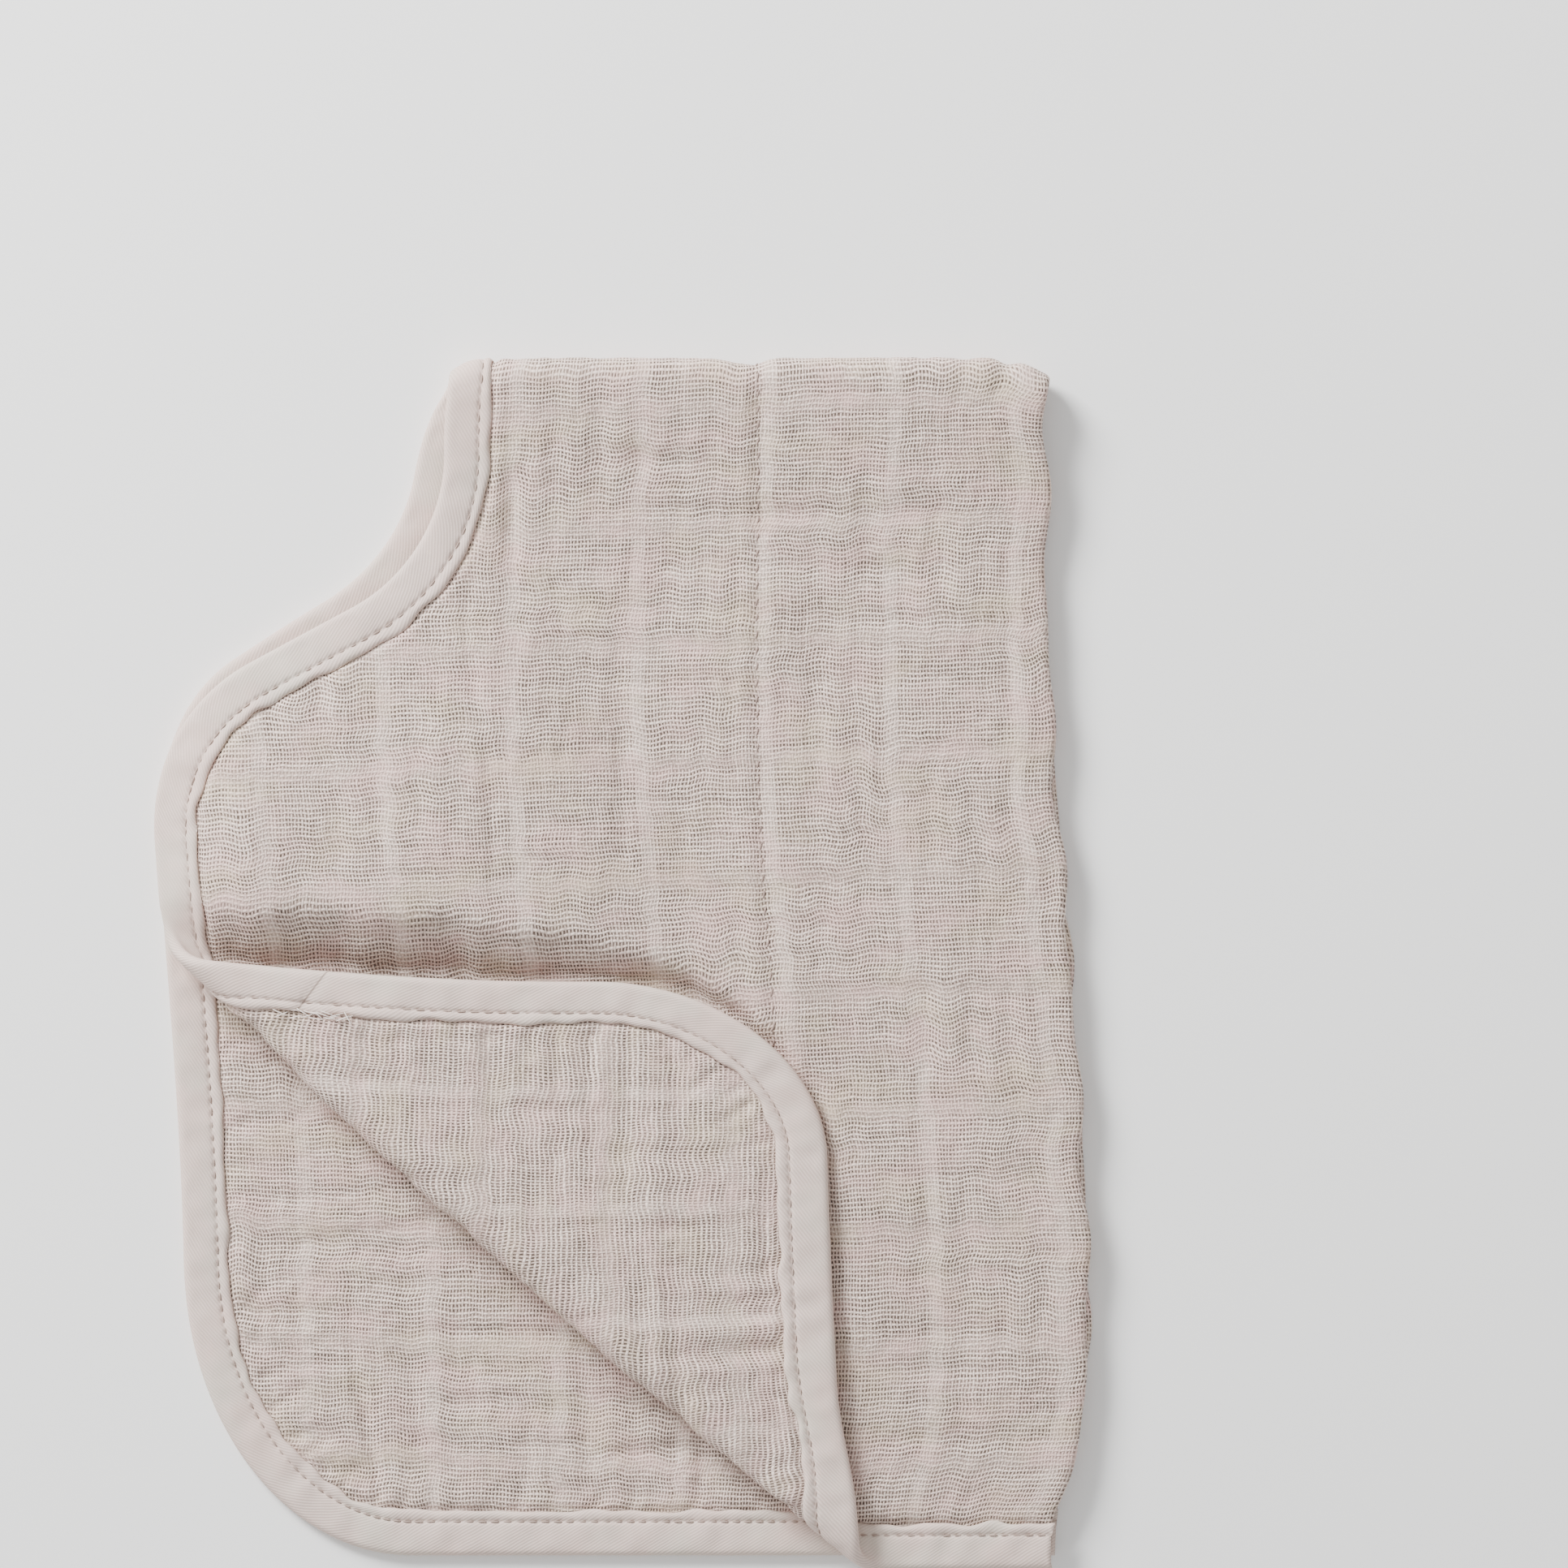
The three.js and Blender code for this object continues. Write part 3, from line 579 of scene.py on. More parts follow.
def faceLattice(isFine):
    # Points of one face and its triangles. isFine says which flat points need the fine step.
    border = borderLoop()
    groups = []
    for step, wanted in ((surface["fineStep"], True), (surface["coarseStep"], False)):
        roundStarts = cloth["width"] - surface["roundFrom"] - surface["sideGap"] * step
        s, v = hexPoints(step)
        keep = isFine(s, v) == wanted
        s, v = s[keep], v[keep]
        inset, _ = edgePlaces(s, v)
        keep = (inset > surface["latticeFrom"]) & (s < roundStarts)
        groups.append(np.stack([s[keep], v[keep]], axis=1))
        points, inward, _ = boundRoute(step, 0.0)
        for depth in surface["rings"]:
            ring = points + inward * depth
            groups.append(ring[(ring[:, 0] < roundStarts) & (isFine(ring[:, 0], ring[:, 1]) == wanted)])
        reach = cloth["halfLength"] - surface["endGap"]
        rows = np.arange(-reach, reach, step)
        for toEdge in (*surface["sideRows"], surface["roundFrom"]):
            line = np.stack([np.full(len(rows), cloth["width"] - toEdge), rows], axis=1)
            groups.append(line[isFine(line[:, 0], line[:, 1]) == wanted])
    loose = np.vstack(groups)
    everyPoint = np.vstack([border, loose])
    loop = [(i, (i + 1) % len(border)) for i in range(len(border))]
    result = delaunay_2d_cdt([Vector(p) for p in everyPoint], loop, [], 1, 1e-5)
    points = np.array([tuple(p) for p in result[0]])
    faces = np.array([face for face in result[2] if len(face) == 3])
    source = {}
    for index, origins in enumerate(result[3]):
        for origin in origins:
            source[origin] = index
    borderIndex = np.array([source[i] for i in range(len(border))])
    a, b, c = (points[faces[:, i]] for i in range(3))
    clockwise = np.cross(b - a, c - a) < 0
    faces[clockwise] = faces[clockwise][:, ::-1]
    return points, faces, borderIndex


def muslinHalf(s, inset):
    # Half of the ply's thickness: thin inside the tape, and rounded off at the soft side.
    toEdge = np.clip(cloth["width"] - s, 0, surface["roundFrom"]) / surface["roundFrom"]
    thin = surface["sideShare"]
    rounded = np.sqrt(np.clip(1 - (1 - toEdge) ** 2, 0, 1)) * (1 - thin) + thin
    opened = np.maximum(half * rounded, surface["leastHalf"])
    return surface["rawHalf"] + (opened - surface["rawHalf"]) * rise(*surface["opens"], inset)


def rollPress(s, v):
    # How deep the roll of the turned corner presses into the lower ply.
    _, past = pastCrease(laidPoints(s, v))
    depth, growing, fading = surface["rollPress"]
    return np.where(v > 0, depth * (1 - rise(*fading, past)) * rise(*growing, past), 0)


def footPress(x, y):
    # How far the upper ply's face is pressed in at the foot of the hollow.
    away, share = pastHollow(x, y)
    outside, under = hollow["pressEnds"]
    return hollow["press"] * (1 - rise(*outside, away)) * rise(*under, away) * share


def shouldering(x, y):
    # The upper ply's face stands up beside the turned corner's right side and falls away from it.
    height, growing, fading, standing, falling, lean = surface["shoulders"]
    beside = x - lean * y
    across = (1 - rise(*falling, beside)) * rise(*standing, beside)
    return height * rise(*growing, -y) * (1 - rise(*fading, -y)) * across


def calmed(x, y):
    # How much of the crinkles is left where the upper ply is stretched over the puff.
    by, place, spread = hollow["calm"]
    away, share = pastHollow(x, y)
    return 1 - by * bell(away - place, spread) * share


def faceHeight(s, v, sign):
    # How far the outer (sign 1) or inner (sign -1) face is from the middle of the ply.
    inset, distance = edgePlaces(s, v)
    upper = v <= 0
    x, y, _ = np.moveaxis(foldedPoints(s, v), -1, 0)
    bumps = crinkleHeights(s, v, sign)
    if sign > 0:
        bumps = bumps + creasing["share"] * creaseField(x, y, upperFaceCreases)
        bumps = np.where(upper, bumps * calmed(x, y) + shouldering(x, y), bumps)
        pressed = np.where(upper, footPress(x, y), 0)
    else:
        creases = np.where(upper, creaseField(x, y, flapCreases), creaseField(x, y, lowerFaceCreases))
        bumps = bumps + creasing["share"] * creases
        pressed = rollPress(s, v)
    seam = seamValley(s, v)
    onFloor = (sign > 0) & (v > surface["floorFrom"])
    floorRelief = np.minimum(bumps * surface["floorShare"], 0) + np.minimum(seam, 0)
    relief = np.where(onFloor, floorRelief, bumps + puckerField(inset, distance, sign) - pressed + seam)
    openPart = rise(*surface["reliefFrom"], inset) * rise(0, surface["reliefFromSide"], cloth["width"] - s)
    return sign * (muslinHalf(s, inset) + relief * openPart)


weaving = {
    "spacing": (0.73, 1.03),  # mm from thread to thread, across and along
    "bandEvery": (27.75, 25.75),  # mm from one closer woven band to the next, across and along
    "bandAt": (27.05, -12.2),  # where one of them lies, flat
    "slant": 0.035,  # the threads across the cloth fall by this much towards the bound side
    "slantFrom": 110.0,  # mm across
    "sideways": (2.8, 100.0, 72.0),  # how far the upper ply's threads run out of line, where, how long
}


def weaveUv(s, v):
    # The weave's own coordinates, in which its threads are straight. They wave as the cloth crinkles.
    columns, rows = columnsAndRows(s, v)
    sideways, place, spread = weaving["sideways"]
    u = s - weaving["bandAt"][0] + crinkles["rowWander"] * rows + sideways * bell(v + place, spread)
    t = v - weaving["bandAt"][1] + weaving["slant"] * (weaving["slantFrom"] - s)
    t = t + crinkles["columnWander"] * columns
    return np.stack([u, t], axis=1) * millimetre


def newPiece(name, points, faces, uv):
    # A smooth-shaded mesh with the coordinates of its weave.
    mesh = bpy.data.meshes.new(name)
    mesh.from_pydata(points.tolist(), [], faces.tolist())
    mesh.update()
    layer = mesh.uv_layers.new(name="weave")
    loops = np.empty(len(mesh.loops), dtype=np.int32)
    mesh.loops.foreach_get("vertex_index", loops)
    layer.data.foreach_set("uv", uv[loops].astype(np.float32).ravel())
    mesh.polygons.foreach_set("use_smooth", [True] * len(mesh.polygons))
    piece = bpy.data.objects.new(name, mesh)
    bpy.context.scene.collection.objects.link(piece)
    return piece


def outerIsFine(s, v):
    # The outer face shows on the upper ply as far as the roll, and round the fold.
    _, past = pastCrease(laidPoints(s, v))
    beyond = surface["fineBeyond"]
    return np.where(v <= 0, past < halfTurn + beyond["roll"], v < beyond["fold"])


def innerIsFine(s, v):
    # The inner face shows on the turned corner and on the lower ply beside it.
    _, past = pastCrease(laidPoints(s, v))
    beyond = surface["fineBeyond"]
    return np.where(v <= 0, past > halfTurn - beyond["corner"], past > -beyond["underRoll"])


def makeMuslin():
    outer, outerFaces, outerBorder = faceLattice(outerIsFine)
    inner, innerFaces, innerBorder = faceLattice(innerIsFine)
    flat = np.vstack([outer, inner])
    heights = np.append(faceHeight(*outer.T, 1), faceHeight(*inner.T, -1))
    spread = placed(flat[:, 0], flat[:, 1], heights)
    count = len(outer)
    faces = [outerFaces, innerFaces[:, ::-1] + count]
    a, b = outerBorder, np.roll(outerBorder, -1)
    c, d = innerBorder + count, np.roll(innerBorder, -1) + count
    # The loop runs clockwise in s and v, so the wall's outer side is on its left.
    walls = np.vstack([np.stack([a, b, c], axis=1), np.stack([b, d, c], axis=1)])
    faces.append(walls)
    return newPiece("muslin", spread, np.vstack(faces), weaveUv(flat[:, 0], flat[:, 1]))


muslin = makeMuslin()
print("muslin", len(muslin.data.polygons), "faces")

# The twill tape

tape = {
    "fabric": 0.5,
    "step": 0.93,
    "overhang": 0.8,
    "sectionInsets": (  # mm in from the nose, closest at the stitched groove
        9.8, 9.4, 8.9, 8.4, 8.05, 7.8, 7.55, 7.3, 7.05, 6.6, 5.8, 4.6, 3.4, 2.3, 1.4, 0.7, 0.2,
    ),
    "insideInsets": (9.9, 5.5, 1.5),
    "insideLip": 0.1,
    "insideLengths": (0.5, 5, 9, 10, 14, 18),  # mm round the inside, from the lip, for the twill
    "nose": 1.4,  # radius of the folded edge
    "lipThins": (0.35, 9.3, 0.7),  # by what share, from which inset, over what width
    "lipWave": 0.40,
    "lipWaveSize": 11.0,
    "lipWaveFrom": 7.9,
    "crowns": [(0.18, 9.0, 0.7), (0.12, 4.2, 2.2)],  # height, inset, spread
    "ripple": (0.15, 8.0, 14.0),  # height, size along and across
    "rippleFrom": (0.6, 3.0),
    "stitchInset": 7.55,
    "stitchLength": 2.8,
    "grooveDepth": 0.34,
    "grooveSpread": 0.42,
    "grooveUneven": 0.5,  # how much deeper it is at a stitch
    "grooveOnFloor": 0.7,
}

# The tape's two ends meet on the turned corner, one laid over the other.
tapeJoin = {
    "at": (0.0, -159.5),
    "inset": 5.0,  # where that place is on the slanted join
    "slant": 0.6,
    "step": (0.3, (0.0, 0.5), (4.0, 14.0)),  # height, growing and fading along the tape
    "dip": (0.3, 0.7),  # depth and spread of the groove at the join itself
    "from": (0.5, 2.0),  # mm in from the nose
    "lineWidth": (0.1, 0.3),  # mm: dark within the first, gone at the second
    "lineShare": 0.8,
}
_, joinDistance = (float(place[0]) for place in edgePlaces(*np.array(tapeJoin["at"])[:, None]))


def tapeHeight(inset):
    # Half of the tape's outer thickness: rounded at the nose and at the lip.
    nose = np.sqrt(np.clip(1 - (1 - np.clip(inset / tape["nose"], 0, 1)) ** 2, 0, 1))
    by, thinFrom, thinOver = tape["lipThins"]
    lip = 1 - by * np.clip((inset - thinFrom) / thinOver, 0, 1) ** 2
    return half * nose * lip


def tapeRelief(q, t, side, onFloor):
    # Soft crowns and ripples, the stitched groove, and the step at the join.
    crown = sum(height * bell(t - place, spread) for height, place, spread in tape["crowns"])
    rippleHeight, rippleAlong, rippleAcross = tape["ripple"]
    ripple = rippleHeight * unevenField(q, t + side * 40, 62, rippleAlong, rippleAcross)
    ripple = ripple * rise(*tape["rippleFrom"], t)
    groove = tape["grooveDepth"] * bell(t - tape["stitchInset"], tape["grooveSpread"])
    groove = groove * (1 + tape["grooveUneven"] * np.cos(turn * q / tape["stitchLength"]))
    fromJoin = q - joinDistance - tapeJoin["slant"] * (t - tapeJoin["inset"])
    stepHeight, growing, fading = tapeJoin["step"]
    dip, dipSpread = tapeJoin["dip"]
    joined = stepHeight * rise(*growing, fromJoin) * (1 - rise(*fading, fromJoin))
    joined = joined - dip * bell(fromJoin, dipSpread)
    shown = crown + ripple - groove + joined * rise(*tapeJoin["from"], t)
    return np.where(onFloor, -groove * tape["grooveOnFloor"], shown)


def tapeEnds(index, outerCount):
    # Closes the U at both ends, with triangles between its outer and its inner line.
    count = index.shape[1]
    pairs = np.linspace(0, count - outerCount - 1, outerCount).round().astype(int)
    ends = []
    for ring, flip in ((index[0], False), (index[-1], True)):
        for i in range(outerCount - 1):
            near, far = ring[i], ring[i + 1]
            insideNear, insideFar = ring[count - 1 - pairs[i]], ring[count - 1 - pairs[i + 1]]
            triangles = [[near, insideNear, far]]
            if insideNear != insideFar:
                triangles.append([far, insideNear, insideFar])
            ends += [triangle[::-1] if flip else triangle for triangle in triangles]
    return np.array(ends)


def makeTape():
    # A U round the raw edge: its outer line runs from the inner face's lip over the nose to the outer
    # face's lip, and its inner line runs back along the inside.
    points, inward, distances = boundRoute(tape["step"], tape["overhang"])
    outsideInsets = np.array([cloth["tapeWidth"], *tape["sectionInsets"]])
    insets = np.concatenate([outsideInsets, [0], outsideInsets[::-1]])
    sides = np.concatenate([np.full(len(outsideInsets), -1), [0], np.full(len(outsideInsets), 1)])
    s = points[:, :1] + inward[:, :1] * insets
    v = points[:, 1:] + inward[:, 1:] * insets
    q = np.broadcast_to(distances[:, None], s.shape)
    t = np.broadcast_to(insets, s.shape)
    side = np.broadcast_to(sides, s.shape)
    onFloor = (side > 0) & (v > 0)
    lipShift = tape["lipWave"] * unevenField(q, side * 30.0, 61, tape["lipWaveSize"], 20)
    lipShift = lipShift * rise(tape["lipWaveFrom"], cloth["tapeWidth"], t)
    s = s + inward[:, :1] * lipShift
    v = v + inward[:, 1:] * lipShift
    w = side * (tapeHeight(t) + tapeRelief(q, t, side, onFloor))
    inside = np.array(tape["insideInsets"])
    ringInsets = np.append(inside, inside[::-1])
    innerS = points[:, :1] + inward[:, :1] * ringInsets
    innerV = points[:, 1:] + inward[:, 1:] * ringInsets
    for column, lip in ((0, -1), (-1, 0)):  # the inner line's ends follow the wavy lips
        innerS[:, column] = s[:, lip] - inward[:, 0] * tape["insideLip"]
        innerV[:, column] = v[:, lip] - inward[:, 1] * tape["insideLip"]
    ringSides = np.repeat([1, -1], len(inside))
    innerW = np.broadcast_to(ringSides * (half - tape["fabric"]), innerS.shape)
    s, v, w = (np.concatenate(pair, axis=1) for pair in ((s, innerS), (v, innerV), (w, innerW)))
    lengths = np.append(0, np.cumsum(np.hypot(np.diff(insets), np.diff(sides * tapeHeight(insets)))))
    around = np.append(lengths, lengths[-1] + np.array(tape["insideLengths"]))
    rows, count = s.shape
    uv = np.stack([np.repeat(distances, count), np.tile(around, rows)], axis=1) * millimetre
    index = np.arange(rows * count).reshape(rows, count)
    nextColumn = np.roll(index, -1, axis=1)
    quads = np.stack([index[:-1], nextColumn[:-1], nextColumn[1:], index[1:]], axis=-1).reshape(-1, 4)
    faces = np.vstack([quads[:, [0, 1, 2]], quads[:, [0, 2, 3]], tapeEnds(index, len(insets))])
    return newPiece("tape", placed(s.ravel(), v.ravel(), w.ravel()), faces, uv)


binding = makeTape()
print("tape", len(binding.data.polygons), "faces")


# Stitches

def makeStitches(name, middles, ways, look, middleHeight, endHeight):
    # Short rounded threads: middles and ways are flat, heights are signed like w.
    length, radius, around = look["length"], look["radius"], 6
    shares = np.array([-1.0, -0.72, -0.3, 0.3, 0.72, 1.0])  # places along a thread, from end to end
    s = middles[:, :1] + ways[:, :1] * shares * length / 2
    v = middles[:, 1:] + ways[:, 1:] * shares * length / 2
    w = middleHeight[:, None] + (endHeight - middleHeight)[:, None] * shares ** 4
    centre = placed(s, v, w)
    normal = outerNormals(s, v)
    along = np.gradient(centre, axis=1)
    along /= np.linalg.norm(along, axis=-1, keepdims=True)
    beside = np.cross(along, normal)
    normal = np.cross(beside, along)
    angles = np.linspace(0, turn, around + 1)[:-1]
    thick = radius * millimetre * np.sqrt(np.clip(1 - shares ** 6, 0.08, 1))[None, :, None, None]
    ring = np.cos(angles)[:, None] * normal[:, :, None, :] + np.sin(angles)[:, None] * beside[:, :, None, :]
    points = centre[:, :, None, :] + ring * thick
    rows = len(shares)
    index = np.arange(rows * around).reshape(rows, around)
    after = np.roll(index, -1, axis=1)
    quads = np.stack([index[:-1], index[1:], after[1:], after[:-1]], axis=-1).reshape(-1, 4)
    faces = np.vstack([quads[:, [0, 1, 2]], quads[:, [0, 2, 3]]])
    caps = [[index[0, 0], index[0, i], index[0, i + 1]] for i in range(1, around - 1)]
    caps += [[index[-1, 0], index[-1, i + 1], index[-1, i]] for i in range(1, around - 1)]
    faces = np.vstack([faces, caps])
    every = faces[None] + np.arange(len(middles))[:, None, None] * rows * around
    uv = np.stack([s, v], axis=-1)[:, :, None, :].repeat(around, axis=2).reshape(-1, 2) * millimetre
    return newPiece(name, points.reshape(-1, 3), every.reshape(-1, 3), uv)


tapeStitch = {
    "length": 2.1,
    "radius": 0.17,
    "sink": 0.4,  # how far its ends go in
    "inGroove": 0.16,  # how far its middle lies under the tape's crown
    "underCloth": 0.3,  # none stands out under the cloth
}


def makeTapeStitches():
    points, inward, _ = boundRoute(tape["stitchLength"], 0.0)
    points, inward = points[:-1] / 2 + points[1:] / 2, inward[:-1] / 2 + inward[1:] / 2
    ways = np.stack([-inward[:, 1], inward[:, 0]], axis=1)
    middles = points + inward * tape["stitchInset"]
    both = np.vstack([middles, middles])
    side = np.repeat([1.0, -1.0], len(middles))
    onFloor = (side > 0) & (both[:, 1] > 0)
    top = half - np.where(onFloor, tapeStitch["underCloth"], tapeStitch["inGroove"])
    ends = side * (top - tapeStitch["sink"])
    return makeStitches("tapeStitches", both, np.vstack([ways, ways]), tapeStitch, side * top, ends)


def makeQuiltStitches():
    reach = cloth["halfLength"] - quiltStitch["fromEnds"]
    v = np.arange(-reach, reach, quiltStitch["pitch"])
    middles = np.stack([seamPlace(v), v], axis=1)
    sides = (1.0, -1.0)
    top = np.concatenate([np.abs(faceHeight(*middles.T, side)) for side in sides]) + quiltStitch["stands"]
    side = np.repeat(sides, len(v))
    top = np.where((side > 0) & (np.tile(v, 2) > 0), half - quiltStitch["underCloth"], top)
    slant = quiltStitch["slant"]
    ways = np.stack([side * math.sin(slant), np.full(len(side), math.cos(slant))], axis=1)
    ends = side * (top - quiltStitch["sink"])
    return makeStitches("quiltStitches", np.vstack([middles, middles]), ways, quiltStitch, side * top, ends)


looseThread = {
    "count": 18,
    "seed": 71,
    "length": 3.4,
    "radius": 0.12,
    "across": (9.4, 11.2),  # mm from the bound side
    "along": (-11.0, 6.0),  # mm from the join
    "turned": 0.55,  # radians
    "above": (0.1, 0.5),
    "sink": 0.5,
}


def makeLooseThreads():
    # A few short ends that have come loose beside the join.
    random = np.random.default_rng(looseThread["seed"])
    count = looseThread["count"]
    across = random.uniform(*looseThread["across"], count)
    along = tapeJoin["at"][1] + random.uniform(*looseThread["along"], count)
    angles = random.normal(0, looseThread["turned"], count)
    ways = np.stack([np.sin(angles), np.cos(angles)], axis=1)
    height = -half - random.uniform(*looseThread["above"], count)
    middles = np.stack([across, along], axis=1)
    return makeStitches("looseThreads", middles, ways, looseThread, height, height + looseThread["sink"])


tapeStitches = makeTapeStitches()
quiltStitches = makeQuiltStitches()
looseThreads = makeLooseThreads()
for piece in (tapeStitches, quiltStitches, looseThreads):
    print(piece.name, len(piece.data.polygons), "faces")


# Materials

def toLinear(hexColour):
    parts = [int(hexColour[i:i + 2], 16) / 255 for i in (1, 3, 5)]
    return [c / 12.92 if c <= 0.04045 else ((c + 0.055) / 1.055) ** 2.4 for c in parts] + [1.0]


def addNode(tree, kind, *values, output=0, inputs=None, **settings):
    # Adds a node with its settings. Plain values and sockets fill its inputs in order, or by name.
    node = tree.nodes.new("ShaderNode" + kind)
    for key, value in settings.items():
        setattr(node, key, value)
    for key, value in [*enumerate(values), *(inputs or {}).items()]:
        if isinstance(value, bpy.types.NodeSocket):
            tree.links.new(value, node.inputs[key])
        else:
            node.inputs[key].default_value = value
    return node.outputs[output]


def newMaterial(name):
    material = bpy.data.materials.new(name)
    material.use_nodes = True
    tree = material.node_tree
    return material, tree, tree.nodes["Principled BSDF"]


def finishFabric(tree, shader, look, colour, height):
    # Every woven fabric here is matte, and its threads stand out as a low relief.
    bump = addNode(tree, "Bump", inputs={
        "Strength": look["reliefStrength"], "Distance": look["relief"] * millimetre, "Height": height,
    })
    tree.links.new(colour, shader.inputs["Base Color"])
    tree.links.new(bump, shader.inputs["Normal"])
    shader.inputs["Roughness"].default_value = look["roughness"]
    shader.inputs["Specular IOR Level"].default_value = look["specular"]


muslinLook = {
    # The threads' tops are painted lit and their sides painted in shade.
    "litThreadTop": "#fdeadd",
    "shadedThreadSide": "#b7a095",
    # The gaps between the threads are painted in the shade that lies in them.
    "gapShade": "#574b43",
    "tints": [  # colour, mm across and along, where its patches start and are full, share
        ("#e6c0b9", (15.0, 9.0), (0.45, 0.66), 0.6),
        ("#d6c3a8", (19.0, 12.0), (0.5, 0.7), 0.55),
    ],
    "threadJitter": 0.45,  # mm that threads stray from their rows
    "jitterSize": 4.0,
    "threadUneven": [(0.75, 14.0), (14.0, 1.0)],  # mm: thicker and thinner stretches of each thread
    "gapEdges": [(0.24, 0.7), (0.3, 0.84)],  # a thread's profile where the gap beside it is open and closed
    "gapPatches": (6.0, 3.5),  # mm
    "bandWidth": 3.0,  # mm
    "bandClosed": 0.55,  # how much of its gaps a band loses
    "bandShade": 0.1,  # bands along the cloth are this much lighter, bands across it darker
    "grainSize": 0.3,  # mm. A fibre is 0.02 mm, too fine to show, so the grain is drawn coarser.
    "fuzzSize": 0.5,
    "grainShare": 0.5,
    "fuzzShare": 0.4,
    "lit": (0.82, 1.38),  # the fuzzy relief that is shown as the thread's side in painted shade and as its top in painted light
    "relief": 0.2,  # mm
    "reliefStrength": 1.0,
    "roughness": 0.93,
    "specular": 0.2,
    "sheen": (0.1, 0.5),  # weight and roughness
}


